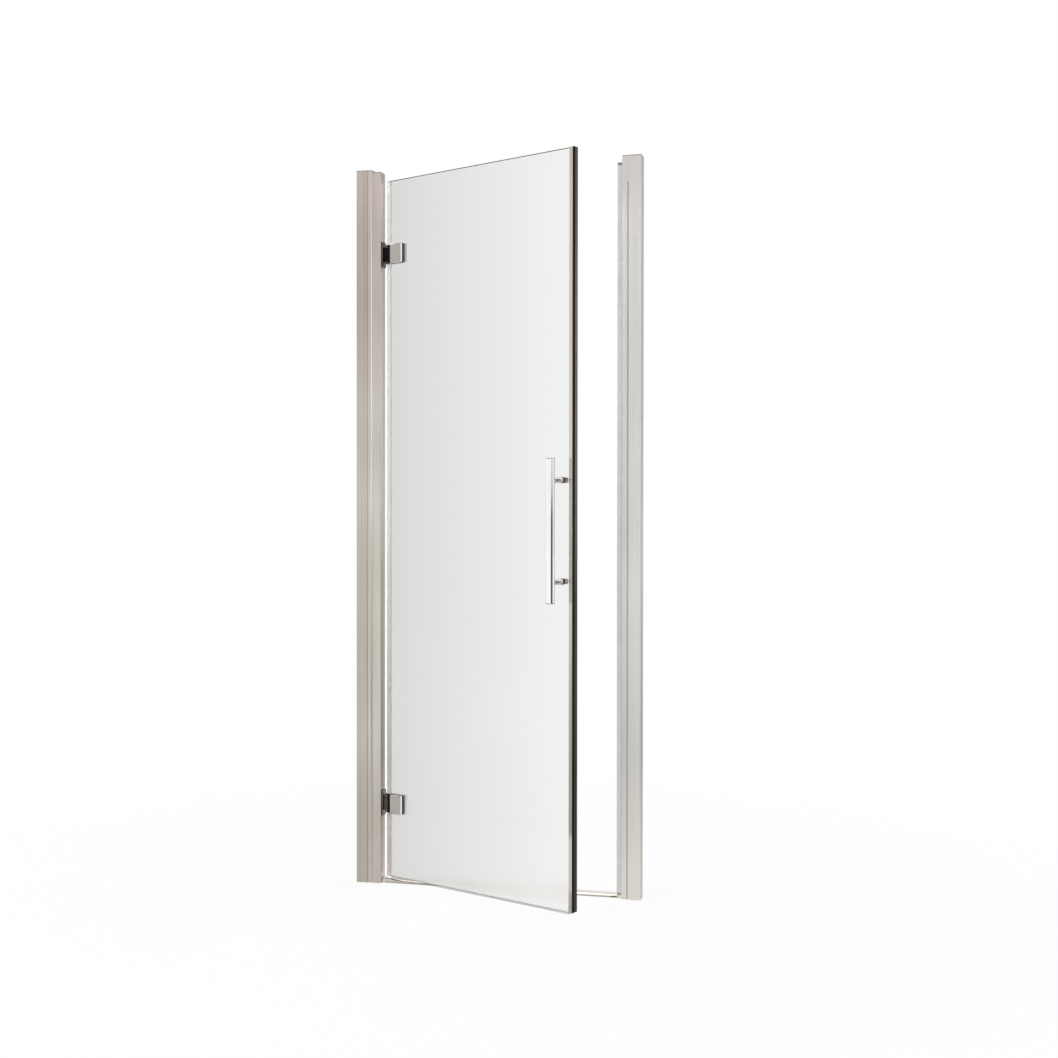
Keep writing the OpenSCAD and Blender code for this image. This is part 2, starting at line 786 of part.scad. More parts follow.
module latch_magnet_gasket() {
    color(black) leaf() translate([glass_end + carrier_web, 0, bottom_gap + gasket_lift])
        linear_extrude(glass_top - bottom_gap - gasket_lift) difference() {
            translate([0, gasket_back / 2])
                round_rect(gasket_out, carrier_t + gasket_back, latch_r);
            translate([gasket_skin, 0])
                bar_rect(gasket_out - 2 * gasket_skin, magnet_w + 2 * fit_gap);
        }
}

module latch_magnet() {
    start = glass_end + carrier_web + gasket_skin;
    color(grey) leaf() block([start, -magnet_w / 2, bottom_gap + gasket_lift],
        [glass_end + latch_reach - gasket_skin, magnet_w / 2, glass_top]);
}

module handle_bar() {
    color(chrome) leaf() difference() {
        translate([bar_x, bar_y, bar_z - bar_len / 2]) cylinder(r = bar_r, h = bar_len);
        translate([bar_x, bar_y, bar_z - bar_len / 2 - eps])
            cylinder(r = bar_r - bar_wall, h = bar_len + 2 * eps);
        at_handle_posts() cylinder(r = stud_r, h = -bar_y);
    }
}

module handle_bar_ends() {
    color(chrome) leaf() translate([bar_x, bar_y, bar_z]) for (side = [0, 1])
        mirror([0, 0, side]) translate([0, 0, bar_len / 2]) {
            cylinder(r = bar_r, h = bar_end_t - handle_edge);
            translate([0, 0, bar_end_t - handle_edge])
                cylinder(r1 = bar_r, r2 = bar_r - handle_edge, h = handle_edge);
            translate([0, 0, -bar_end_plug])
                cylinder(r = bar_r - bar_wall - fit_gap, h = bar_end_plug + eps);
        }
}

// Posts whose outer ends are cut to seat on the round bar
module handle_posts() {
    color(chrome) leaf() difference() {
        at_handle_posts() translate([0, 0, rear_y])
            cylinder(d = bar_post_d, h = bar_standoff - washer_t);
        translate([bar_x, bar_y, bar_z - bar_len / 2]) cylinder(r = bar_r, h = bar_len);
        at_handle_posts() cylinder(r = stud_r, h = -bar_y);
    }
}

// Washers on both sides of the glass, with collars inside its holes
module handle_washers() {
    collar = half_glass - fit_gap;
    color(black) leaf() at_handle_posts() for (side = [0, 1]) mirror([0, 0, side]) difference() {
        union() {
            translate([0, 0, half_glass]) cylinder(d = washer_d, h = washer_t);
            translate([0, 0, half_glass - collar])
                cylinder(d = glass_hole_d - 2 * fit_gap, h = collar + eps);
        }
        translate([0, 0, -eps]) cylinder(r = stud_r, h = rear_y + 2 * eps);
    }
}

module handle_studs() {
    stud_from = -rear_y - rear_cap_len + rear_cap_skin;
    stud_to = -bar_y - bar_r + bar_wall + stud_in;
    color(chrome) leaf() at_handle_posts() translate([0, 0, stud_from])
        cylinder(r = stud_r, h = stud_to - stud_from);
}

module handle_rear_caps() {
    color(chrome) leaf() at_handle_posts() translate([0, 0, -rear_y - rear_cap_len]) difference() {
        translate([0, 0, handle_edge]) cylinder(d = bar_post_d, h = rear_cap_len - handle_edge);
        cylinder(d1 = bar_post_d - 2 * handle_edge, d2 = bar_post_d, h = handle_edge);
        translate([0, 0, rear_cap_skin]) cylinder(r = stud_r, h = rear_cap_len);
    }
}

hinge_wall_channel();
strike_wall_channel();
hinge_jamb();
strike_jamb();
hinge_post();
hinge_channel_cap();
strike_channel_cap();
hinge_post_cap();
groove_infill();
strike_seal();
strike_seal_plug();
strike_magnet();
jamb_fixing_screws();
screw_cover_caps();
threshold_bar();
threshold_end_caps();
lower_wall_plate();
upper_wall_plate();
lower_plate_screws();
upper_plate_screws();
lower_hinge_bushes();
upper_hinge_bushes();
lower_hinge_pin();
upper_hinge_pin();
lower_hinge_clamp();
upper_hinge_clamp();
lower_back_plate();
upper_back_plate();
lower_clamp_gaskets();
upper_clamp_gaskets();
lower_clamp_screws();
upper_clamp_screws();
glass_panel();
hinge_edge_seal();
bottom_drip_seal();
latch_profile();
latch_magnet_gasket();
latch_magnet();
handle_bar();
handle_bar_ends();
handle_posts();
handle_washers();
handle_studs();
handle_rear_caps();
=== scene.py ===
"""Visual model of a hinged shower door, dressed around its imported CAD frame.

Two telescoping posts of anodised aluminium carry a leaf of toughened glass on two clamp hinges.
Every CAD node gets a finer piece, most with broken edges, and a finish made from shader nodes.
"""
import json
import logging
import math
from dataclasses import dataclass
from enum import Enum
from functools import cached_property
from typing import Any, Callable, Sequence

import bmesh
import bpy
from mathutils import Matrix, Vector


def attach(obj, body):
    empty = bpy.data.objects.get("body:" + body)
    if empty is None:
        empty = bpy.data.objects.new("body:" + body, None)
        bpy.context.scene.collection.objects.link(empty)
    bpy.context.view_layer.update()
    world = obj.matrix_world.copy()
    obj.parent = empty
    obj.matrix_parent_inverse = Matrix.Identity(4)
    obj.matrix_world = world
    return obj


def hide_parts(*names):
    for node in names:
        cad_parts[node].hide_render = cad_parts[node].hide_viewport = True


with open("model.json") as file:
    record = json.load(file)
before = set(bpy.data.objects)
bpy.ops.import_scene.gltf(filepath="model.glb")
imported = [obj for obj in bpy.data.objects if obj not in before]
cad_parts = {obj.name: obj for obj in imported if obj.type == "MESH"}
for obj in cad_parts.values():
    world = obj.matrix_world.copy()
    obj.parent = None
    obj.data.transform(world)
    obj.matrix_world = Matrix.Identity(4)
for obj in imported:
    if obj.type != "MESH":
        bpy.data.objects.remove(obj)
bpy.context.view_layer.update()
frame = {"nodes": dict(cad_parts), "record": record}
RECORD = frame["record"]
BODY_OF = {node: body for body, nodes in RECORD["behaviour"]["bodies"].items() for node in nodes}
LOG = logging.getLogger("shower_door")

Material = bpy.types.Material
Tree = bpy.types.NodeTree
Node = bpy.types.Node
Socket = bpy.types.NodeSocket
BMesh = bmesh.types.BMesh
Stops = Sequence[tuple[float, str]]
Point = tuple[float, float, float]
# the number of a face's finish, from the face's middle in millimetres and its normal
Chooser = Callable[[Vector, Vector], int]

MM = 0.001
DOOR_HEIGHT = 1.85
SMOOTH_BELOW = math.radians(38)
FLAT_BELOW = math.radians(0.4)
SAME_POINT = 0.002 * MM
# a face or an edge counts as on a plane when its middle is this close, in millimetres
NEAR = 0.1


class Run(Enum):
    """The direction in which a metal was drawn or brushed, which its fine lines follow."""

    UPRIGHT = (1, 1, 0)
    SILL = (0, 1, 1)


# the leaf turns about an upright line through both hinges, and stands ajar at rest
PIVOT_X = -294.5 * MM
LEAF_ANGLE = math.radians(-24.0)
LEAF_TO_DOOR = Matrix.Translation((PIVOT_X, 0, 0)) @ Matrix.Rotation(LEAF_ANGLE, 4, "Z")
DOOR_TO_LEAF = LEAF_TO_DOOR.inverted()


def at(x: float, y: float, z: float) -> Matrix:
    """Returns the move to a place given in millimetres."""
    return Matrix.Translation((x * MM, y * MM, z * MM))


def on_leaf(point: Vector) -> Vector:
    """Returns a point of the door in the leaf's own axes, both in millimetres."""
    return DOOR_TO_LEAF @ (point * MM) / MM


def per_metre(size_mm: float) -> float:
    """Returns how many times a pattern of this size fits into a metre."""
    return 1 / (size_mm * MM)


def linear(hex_colour: str) -> tuple[float, float, float, float]:
    """Turns an sRGB hex colour into the linear values that shaders take.

    Args:
        hex_colour: six hex digits after a hash sign.

    Returns:
        Red, green, blue and an alpha of one.
    """
    channels = [int(hex_colour[i:i + 2], 16) / 255 for i in (1, 3, 5)]
    return (*(c / 12.92 if c <= 0.04045 else ((c + 0.055) / 1.055) ** 2.4 for c in channels), 1.0)


def add_node(tree: Tree, kind: str, inputs: dict[Any, Any] | None = None, stops: Stops = (),
             **settings: Any) -> Node:
    """Adds one node with its settings, its input values and its links.

    Args:
        tree: the node tree to add to.
        kind: the node's type name after ShaderNode.
        inputs: for each input's name or number a value, or the output that it is linked to. A
            node stands for its own first output.
        stops: positions and hex colours, where the node is a colour ramp.
        settings: the node's own options.

    Returns:
        The new node.
    """
    node = tree.nodes.new(f"ShaderNode{kind}")
    for option, value in settings.items():
        setattr(node, option, value)
    for key, value in (inputs or {}).items():
        if isinstance(value, Node):
            value = value.outputs[0]
        if isinstance(value, Socket):
            tree.links.new(value, node.inputs[key])
        else:
            node.inputs[key].default_value = value
    if stops:
        elements = node.color_ramp.elements
        while len(elements) < len(stops):
            elements.new(0.5)
        for element, (position, hex_colour) in zip(elements, stops):
            element.position = position
            element.color = linear(hex_colour)
    return node


def blank_material(name: str) -> tuple[Material, Tree, Socket]:
    """Starts a material.

    Args:
        name: the material's name.

    Returns:
        The material, its node tree and the piece's own coordinates in that tree.
    """
    material = bpy.data.materials.new(name)
    material.use_nodes = True
    tree = material.node_tree
    tree.nodes.clear()
    return material, tree, add_node(tree, "TexCoord").outputs["Object"]


def close_material(material: Material, shader: Node, see_through: bool = False) -> Material:
    """Links a shader to the material's output.

    Args:
        material: the material to close.
        shader: its finished shader.
        see_through: whether light passes straight through to what the piece would shade.

    Returns:
        The same material.
    """
    tree = material.node_tree
    if see_through:
        is_shadow = add_node(tree, "LightPath").outputs["Is Shadow Ray"]
        clear = add_node(tree, "BsdfTransparent")
        shader = add_node(tree, "MixShader", {0: is_shadow, 1: shader, 2: clear})
    add_node(tree, "OutputMaterial", {"Surface": shader})
    return material


def paint_light_over_height(tree: Tree, place: Socket, colour: Node, stops: Stops) -> Node | Socket:
    """Paints light and shade into a colour slowly, from the foot of the door to its top.

    Args:
        tree: the node tree to add to.
        place: the piece's own coordinates.
        colour: the colour to shade.
        stops: heights in metres with the hex tone that multiplies the colour there.

    Returns:
        The shaded colour, or the colour itself where there are no stops.
    """
    if not stops:
        return colour
    height = add_node(tree, "SeparateXYZ", {0: place}).outputs["Z"]
    share = add_node(tree, "MapRange", {0: height, 1: 0.0, 2: DOOR_HEIGHT})
    tone = add_node(tree, "ValToRGB", {
        0: share}, [(level / DOOR_HEIGHT, shade) for level, shade in stops])
    return add_node(tree, "Mix", {
        0: 1.0, 6: colour, 7: tone}, data_type="RGBA", blend_type="MULTIPLY").outputs[2]


@dataclass(frozen=True)
class Finish:
    """What every finish has: a name, and the pale and the deep tone that it wanders between."""

    name: str
    pale: str
    deep: str

    def make(self) -> Material:
        """Returns the material."""
        raise NotImplementedError


@dataclass(frozen=True)
class AnodisedAluminium(Finish):
    """Extruded 6063 aluminium, brushed and anodised to a satin sheen.

    The die leaves faint lines along the profile, and the bath changes the tone slowly from
    place to place, so the metal is never one flat grey.
    """

    run: Run = Run.UPRIGHT
    roughness: float = 0.3
    line_mm: float = 5.0  # real die lines are about 0.2 mm apart, too fine to show in the render
    line_length_mm: float = 500.0
    cloud_mm: float = 300.0
    relief_mm: float = 0.008
    # painted light and shade by height: heights in metres with the tone that multiplies the colour there
    painted_light_by_height: Stops = ()

    def make(self) -> Material:
        """Returns the material."""
        material, tree, place = blank_material(self.name)
        across, along = per_metre(self.line_mm), per_metre(self.line_length_mm)
        scale = [across if axis else along for axis in self.run.value]
        drawn = add_node(tree, "Mapping", {"Vector": place, "Scale": scale})
        lines = add_node(tree, "TexNoise", {"Vector": drawn, "Scale": 1.0, "Detail": 3.0})
        clouds = add_node(tree, "TexNoise", {
            "Vector": place, "Scale": per_metre(self.cloud_mm), "Detail": 1.0})
        tone = add_node(tree, "Mix", {0: 0.6, 2: lines, 3: clouds})
        colour = add_node(tree, "ValToRGB", {0: tone}, ((0.36, self.deep), (0.64, self.pale)))
        sheen = add_node(tree, "MapRange", {
            0: lines, 3: self.roughness - 0.05, 4: self.roughness + 0.05})
        relief = add_node(tree, "Bump", {
            "Strength": 0.3, "Distance": self.relief_mm * MM, "Height": lines})
        shaded = paint_light_over_height(tree, place, colour, self.painted_light_by_height)
        return close_material(material, add_node(tree, "BsdfPrincipled", {
            "Base Color": shaded, "Metallic": 1.0, "Roughness": sheen, "Normal": relief}))


@dataclass(frozen=True)
class PlatedChrome(Finish):
    """Chrome or nickel plate over brass or zinc, buffed on a wheel.

    It mirrors the studio. The buffing leaves long shallow waves and a thin uneven haze, so the
    gloss changes a little over the surface.
    """

    roughness: float = 0.06
    haze_mm: float = 45.0
    wave_mm: float = 70.0
    relief_mm: float = 0.004

    def make(self) -> Material:
        """Returns the material."""
        material, tree, place = blank_material(self.name)
        haze = add_node(tree, "TexNoise", {
            "Vector": place, "Scale": per_metre(self.haze_mm), "Detail": 4.0, "Roughness": 0.6})
        waves = add_node(tree, "TexNoise", {
            "Vector": place, "Scale": per_metre(self.wave_mm), "Detail": 0.0})
        colour = add_node(tree, "ValToRGB", {0: haze}, ((0.35, self.deep), (0.65, self.pale)))
        gloss = add_node(tree, "MapRange", {0: haze, 3: self.roughness * 0.6, 4: self.roughness * 1.4})
        relief = add_node(tree, "Bump", {
            "Strength": 0.2, "Distance": self.relief_mm * MM, "Height": waves})
        return close_material(material, add_node(tree, "BsdfPrincipled", {
            "Base Color": colour, "Metallic": 1.0, "Roughness": gloss, "Normal": relief}))


@dataclass(frozen=True)
class MouldedPlastic(Finish):
    """ABS, nylon, rubber or rigid PVC from a mould or a die: matt, with a fine even grain."""

    roughness: float = 0.5
    grain_mm: float = 0.9  # a real grain is near 0.2 mm, drawn coarser so that it shows
    flow_share: float = 0.03
    relief_mm: float = 0.02
    shine: float = 0.5
    # painted light and shade by height: heights in metres with the tone that multiplies the colour there
    painted_light_by_height: Stops = ()

    def make(self) -> Material:
        """Returns the material."""
        material, tree, place = blank_material(self.name)
        fine = per_metre(self.grain_mm)
        grain = add_node(tree, "TexNoise", {"Vector": place, "Scale": fine, "Detail": 2.0})
        flow = add_node(tree, "TexNoise", {
            "Vector": place, "Scale": self.flow_share * fine, "Detail": 2.0})
        tone = add_node(tree, "Mix", {0: 0.7, 2: grain, 3: flow})
        colour = add_node(tree, "ValToRGB", {0: tone}, ((0.35, self.deep), (0.65, self.pale)))
        gloss = add_node(tree, "MapRange", {
            0: grain, 3: self.roughness - 0.08, 4: self.roughness + 0.08})
        relief = add_node(tree, "Bump", {
            "Strength": 0.4, "Distance": self.relief_mm * MM, "Height": grain})
        shaded = paint_light_over_height(tree, place, colour, self.painted_light_by_height)
        return close_material(material, add_node(tree, "BsdfPrincipled", {
            "Base Color": shaded, "Roughness": gloss, "Specular IOR Level": self.shine,
            "Normal": relief}))


@dataclass(frozen=True)
class TurnedSteel(Finish):
    """Stainless steel turned on a lathe: bright, with close tool marks round its axis."""

    mark_mm: float = 0.6
    roughness: float = 0.25

    def make(self) -> Material:
        """Returns the material."""
        material, tree, place = blank_material(self.name)
        marks = add_node(tree, "TexNoise", {
            "Vector": place, "Scale": per_metre(self.mark_mm), "Detail": 5.0})
        colour = add_node(tree, "ValToRGB", {0: marks}, ((0.3, self.deep), (0.7, self.pale)))
        gloss = add_node(tree, "MapRange", {
            0: marks, 3: self.roughness - 0.08, 4: self.roughness + 0.1})
        return close_material(material, add_node(tree, "BsdfPrincipled", {
            "Base Color": colour, "Metallic": 1.0, "Roughness": gloss}))


@dataclass(frozen=True)
class FlexiblePvc(Finish):
    """Clear flexible PVC, extruded, with slow waves along its length.

    It is paler at its top and greyer lower down.
    """

    roughness: float = 0.16
    refraction: float = 1.4
    body: float = 0.15
    wave_mm: float = 90.0
    relief_mm: float = 0.03
    clear_above: float = 1.0
    dull_below: float = 0.4

    def make(self) -> Material:
        """Returns the material."""
        material, tree, place = blank_material(self.name)
        waves = add_node(tree, "TexNoise", {
            "Vector": place, "Scale": per_metre(self.wave_mm), "Detail": 3.0})
        height = add_node(tree, "SeparateXYZ", {0: place}).outputs["Z"]
        level = add_node(tree, "MapRange", {0: height, 1: self.dull_below, 2: self.clear_above})
        height_tone = add_node(tree, "Mix", {0: 0.2, 2: level, 3: waves})
        colour = add_node(tree, "ValToRGB", {0: height_tone}, ((0.1, self.deep), (0.8, self.pale)))
        relief = add_node(tree, "Bump", {
            "Strength": 0.2, "Distance": self.relief_mm * MM, "Height": waves})
        return close_material(material, add_node(tree, "BsdfPrincipled", {
            "Base Color": colour, "Roughness": self.roughness, "IOR": self.refraction,
            "Transmission Weight": 1 - self.body, "Normal": relief}), see_through=True)


@dataclass(frozen=True)
class WaterClearFilm(Finish):
    """Thin PVC of the drip seal: clear legs that almost vanish, over a lip of smoky soft PVC."""

    cover: float = 0.1
    roughness: float = 0.12
    wave_mm: float = 60.0

    def make(self) -> Material:
        """Returns the material."""
        material, tree, place = blank_material(self.name)
        waves = add_node(tree, "TexNoise", {
            "Vector": place, "Scale": per_metre(self.wave_mm), "Detail": 2.0})
        colour = add_node(tree, "ValToRGB", {0: waves}, ((0.35, self.deep), (0.65, self.pale)))
        return close_material(material, add_node(tree, "BsdfPrincipled", {
            "Base Color": colour, "Roughness": self.roughness, "Alpha": self.cover}))


@dataclass(frozen=True)
class ToughenedGlass(Finish):
    """Toughened soda-lime glass, 6 mm: it greys what lies behind it, and a painted reflection greys it more
    near the hinges.

    Splashing water leaves a haze on its lowest part, where nothing shows sharply through it.
    The rollers of the toughening furnace leave a faint long ripple.
    """

    width_mm: float = 597.6
    roughness: float = 0.06
    haze: float = 0.3
    haze_below: float = 0.2
    clear_above: float = 0.5
    refraction: float = 1.5
    ripple_mm: float = 160.0
    relief_mm: float = 0.05
    # painted light and shade by height: heights in metres with the tone that multiplies the colour there
    painted_light_by_height: Stops = ()

    def make(self) -> Material:
        """Returns the material."""
        material, tree, place = blank_material(self.name)
        along_leaf = add_node(tree, "Mapping", {
            "Vector": place, "Location": (PIVOT_X, 0, 0), "Rotation": (0, 0, LEAF_ANGLE)},
            vector_type="TEXTURE")
        axes = add_node(tree, "SeparateXYZ", {0: along_leaf})
        share = add_node(tree, "MapRange", {0: axes.outputs["X"], 1: 0.0, 2: self.width_mm * MM})
        tint_and_painted_reflection = add_node(tree, "ValToRGB", {0: share}, ((0.0, self.deep), (0.9, self.pale)))
        dullness = add_node(tree, "MapRange", {
            0: axes.outputs["Z"], 1: self.haze_below, 2: self.clear_above, 3: self.haze,
            4: self.roughness})
        ripple = add_node(tree, "TexNoise", {
            "Vector": place, "Scale": per_metre(self.ripple_mm), "Detail": 0.0})
        relief = add_node(tree, "Bump", {
            "Strength": 0.05, "Distance": self.relief_mm * MM, "Height": ripple})
        shaded = paint_light_over_height(tree, place, tint_and_painted_reflection, self.painted_light_by_height)
        return close_material(material, add_node(tree, "BsdfPrincipled", {
            "Base Color": shaded, "Roughness": dullness, "IOR": self.refraction,
            "Transmission Weight": 1.0, "Normal": relief}), see_through=True)


@dataclass(frozen=True)
class GroundGlass(Finish):
    """The ground and half polished edge of the pane, which shows darker and faintly green."""

    grit_mm: float = 1.2  # real grinding marks are about 0.1 mm, too fine to show
    relief_mm: float = 0.03
    roughness: float = 0.4
    refraction: float = 1.5
    clarity: float = 0.15

    def make(self) -> Material:
        """Returns the material."""
        material, tree, place = blank_material(self.name)
        grit = add_node(tree, "TexNoise", {
            "Vector": place, "Scale": per_metre(self.grit_mm), "Detail": 3.0})
        colour = add_node(tree, "ValToRGB", {0: grit}, ((0.3, self.deep), (0.7, self.pale)))
        relief = add_node(tree, "Bump", {
            "Strength": 0.3, "Distance": self.relief_mm * MM, "Height": grit})
        return close_material(material, add_node(tree, "BsdfPrincipled", {
            "Base Color": colour, "Roughness": self.roughness, "IOR": self.refraction,
            "Transmission Weight": self.clarity, "Normal": relief}), see_through=True)


# painted light and shade by height on the hinge side's front faces, but for their upper part
HINGE_PAINTED_LIGHT: Stops = ((0.0, "#E8E4DF"), (0.35, "#F2F2EB"), (0.8, "#FFFFF7"), (1.15, "#FFFEFA"))


class Paint(Enum):
    """Every finish of the door, shared by its pieces."""

    # the hinge side's channel and post: painted light and shade by height, darker towards the foot
    HINGE_CHANNEL = AnodisedAluminium(
        "satin_anodised_channel", "#D3CDC7", "#BEB8B0",
        painted_light_by_height=(*HINGE_PAINTED_LIGHT, (1.5, "#EDE6E4"), (1.85, "#FBF3EF")))
    HINGE_POST = AnodisedAluminium(
        "satin_anodised_hinge_post", "#DCD8D5", "#C6C1BC",
        painted_light_by_height=(*HINGE_PAINTED_LIGHT, (1.5, "#F2ECE9"), (1.85, "#FBF3EF")))
    # the hinge post's faces towards the latch side: a paler copy of its finish with painted shade low down,
    # darkest near 0.34 m
    POST_SIDE = AnodisedAluminium(
        "satin_anodised_post_side", "#F0ECE6", "#D9D4CC",
        painted_light_by_height=((0.0, "#DED8D1"), (0.34, "#9E998F"), (0.73, "#BCBDB4"), (1.12, "#F6F5EC"),
                   (1.6, "#DED8D0"), (1.85, "#F6ECE2")))
    # painted light and shade by height: warmer at the foot, darker near 0.37 m
    STRIKE_POST = AnodisedAluminium(
        "satin_anodised_strike_post", "#E1E0DE", "#D2D1CF",
        painted_light_by_height=((0.0, "#FFFBF6"), (0.22, "#FFFCF6"), (0.37, "#EEEEEC"), (0.5, "#FCFCFC"),
                   (1.6, "#FFFFFF"), (1.85, "#FEFAF7")))
    # the strike channel's faces towards the latch side: a copy of its finish with painted shade below 0.95
    # m, darkest near 0.37 m
    WALL_SIDE = AnodisedAluminium(
        "satin_anodised_wall_side", "#EDEBE8", "#DEDCD9",
        painted_light_by_height=((0.0, "#C9C5BB"), (0.2, "#CECABD"), (0.37, "#93928E"), (0.75, "#B8B8B5"),
                   (0.95, "#FFFFFF")))
    # the hinge jamb's round front corner, a little glossier: a painted highlight, with painted shade lower
    # down
    JAMB_CORNER = AnodisedAluminium(
        "jamb_corner_painted_light", "#FFFEFC", "#F2EEEA", roughness=0.2,
        painted_light_by_height=((0.0, "#C8C2BA"), (0.45, "#A8A49E"), (0.8, "#E0DEDA"), (1.0, "#FFFFFF"),
                   (1.5, "#FAF8F5"), (1.85, "#D8D3CE")))
    # painted shade inside the strike jamb's groove, on a rougher metal
    GROOVE = AnodisedAluminium("groove_painted_shade", "#D3D0CC", "#C4C1BC", roughness=0.5)
    # painted light by height: a painted reflection on the bright crown, 12 mm high, over a painted shade on
    # the foot
    SILL = AnodisedAluminium(
        "polished_anodised_sill", "#FFFEFB", "#F6F4F0", Run.SILL, roughness=0.06,
        relief_mm=0.002, painted_light_by_height=((0.0, "#A8A298"), (0.004, "#C0BBB1"), (0.0085, "#E8E5DF"),
                                    (0.012, "#FFFFFF")))
    # painted light and shade by height, darker towards the foot
    LATCH_METAL = AnodisedAluminium(
        "bright_anodised_latch_profile", "#F4F0EC", "#E8E3DC", roughness=0.22,
        painted_light_by_height=((0.055, "#B4B2AE"), (0.08, "#D4D1CC"), (0.19, "#D6D3CE"), (0.21, "#A6A49E"),
                   (0.5, "#BEBDB5"), (0.75, "#DAD8D1"), (1.1, "#E4E1DC"), (1.85, "#D0CBC4")))
    CHROME = PlatedChrome("polished_chrome", "#FAFAFB", "#F1F1F3")
    BAR_CHROME = PlatedChrome("polished_chrome_bar", "#FAFAFB", "#F6F6F7", roughness=0.05,
                              relief_mm=0.0005)
    # satin chrome, darkened: the clamp's middle tone between the painted highlight on its bevels and the
    # painted shade on its rim, and a painted shade line on the handle's bar ends
    CLAMP_FACE = PlatedChrome("satin_chrome_clamp", "#B0ACA6", "#A8A49E", roughness=0.2)
    # painted shade on the clamp's rim
    CLAMP_RIM = PlatedChrome("clamp_rim_painted_shade", "#55524E", "#46433F", roughness=0.25)
    # a darkened copy of the chrome: painted shade on the handle's posts and its lower rear cap
    POST_CHROME = PlatedChrome("chrome_posts_painted_shade", "#BCB9B4", "#AEABA6", roughness=0.1)
    # darker still: painted shade on the upper rear cap
    CAP_CHROME = PlatedChrome("chrome_cap_painted_shade", "#9C9995", "#8C8984", roughness=0.1)
    # the wall plates and their screws: a dark nickel, darker than the clamp
    PLATE_NICKEL = PlatedChrome("dark_nickel_plate", "#6B645D", "#4E4842", roughness=0.22)
    # the knuckles and forks: dark brown on the lower hinge, near black on the upper
    DARK_BROWN_METAL = PlatedChrome("dark_brown_hinge_metal", "#564A46", "#423834", roughness=0.2)
    NEAR_BLACK_METAL = PlatedChrome("near_black_hinge_metal", "#1C1A19", "#100F0E", roughness=0.18)
    STEEL = TurnedSteel("turned_stainless_steel", "#C9C8C6", "#A5A3A0")
    GREY_PLASTIC = MouldedPlastic("grey_abs_caps", "#8F8A83", "#7D7872")
    PALE_PLASTIC = MouldedPlastic("pale_rigid_pvc", "#D0CFCD", "#C8C7C5", 0.35)
    WHITE_PLASTIC = MouldedPlastic("white_rigid_pvc", "#E8E6E2", "#DEDCD8", 0.35)
    NYLON = MouldedPlastic("natural_nylon", "#DAD8D0", "#CBC9C0", 0.4)
    GREY_RUBBER = MouldedPlastic("grey_neoprene_gasket", "#8C8B89", "#7A7977", 0.7)
    BLACK_RUBBER = MouldedPlastic("black_pvc_gasket", "#231A17", "#181210", shine=0.1)
    # a painted reflection on the black gasket's end face: dark at the foot, pale above about 1 m
    GASKET_FACE = MouldedPlastic(
        "gasket_face_painted_reflection", "#9A9094", "#8C8286", 0.35, shine=0.3,
        painted_light_by_height=((0.0, "#2E2A2A"), (0.35, "#383436"), (0.75, "#706C6E"), (1.05, "#CBC8CA"),
                   (1.5, "#CECACC"), (1.75, "#989496")))
    MAGNET = MouldedPlastic("bonded_ferrite_strip", "#37322F", "#28231F", 0.6, 0.6)
    SEAL = FlexiblePvc("clear_pvc_edge_seal", "#FBFBFA", "#EAE7E3")
    DRIP_SEAL = WaterClearFilm("water_clear_drip_seal", "#F8F9F8", "#EEF0EF")
    DRIP_LIP = WaterClearFilm("smoky_pvc_drip_lip", "#6C6C6A", "#5E5E5C", cover=0.24, roughness=0.4)
    # a painted reflection across the leaf, greyer near the hinges, and painted light towards the foot
    GLASS = ToughenedGlass(
        "grey_toughened_glass", "#F6F6F6", "#DDDDDC",
        painted_light_by_height=((0.0, "#FFFFFF"), (0.16, "#FEFEFE"), (0.35, "#FAFAFA"), (0.7, "#F8F8F8")))
    GLASS_EDGE = GroundGlass("ground_glass_edge", "#4A4B4A", "#3A3B3A")

    @cached_property
    def material(self) -> Material:
        """Returns the finish's material, which is made at its first use."""
        return self.value.make()


def merged_copy(node: str) -> BMesh:
    """Copies a CAD node's mesh, with its loose triangles joined into whole faces.

    Args:
        node: the CAD node's name.

    Returns:
        A new mesh, in the door's axes.
    """
    mesh = bmesh.new()
    mesh.from_mesh(frame["nodes"][node].data)
    bmesh.ops.remove_doubles(mesh, verts=mesh.verts[:], dist=SAME_POINT)
    bmesh.ops.dissolve_limit(mesh, angle_limit=FLAT_BELOW, verts=mesh.verts[:],
                             edges=mesh.edges[:], use_dissolve_boundaries=False, delimit={"NORMAL"})
    return mesh


def break_edges(mesh: BMesh, width_mm: float, segments: int = 2,
                where: Callable[[Vector], bool] = lambda middle: True) -> None:
    """Rounds the sharp outer edges of a mesh, as a tumbled or filed part has them.

    Args:
        mesh: the mesh to work on.
        width_mm: how far the rounding reaches from the edge.
        segments: the number of facets across the rounding.
        where: says from an edge's middle, in millimetres, whether that edge is rounded.
    """
    sharp = [edge for edge in mesh.edges if len(edge.link_faces) == 2 and edge.is_convex
             and edge.calc_face_angle(0.0) > SMOOTH_BELOW
             and where((edge.verts[0].co + edge.verts[1].co) / (2 * MM))]
    bmesh.ops.bevel(mesh, geom=sharp, offset=width_mm * MM, offset_type="OFFSET",
                    segments=segments, profile=0.5, affect="EDGES", clamp_overlap=True,
                    material=-1)


def cut(mesh: BMesh, point: Sequence[float], normal: Sequence[float]) -> None:
    """Adds edges where a plane crosses a mesh, so that a finish can end there.

    Args:
        mesh: the mesh to work on.
        point: a point on the plane, in metres.
        normal: the direction square to the plane.
    """
    bmesh.ops.bisect_plane(mesh, geom=mesh.verts[:] + mesh.edges[:] + mesh.faces[:],
                           plane_co=point, plane_no=normal, dist=SAME_POINT)


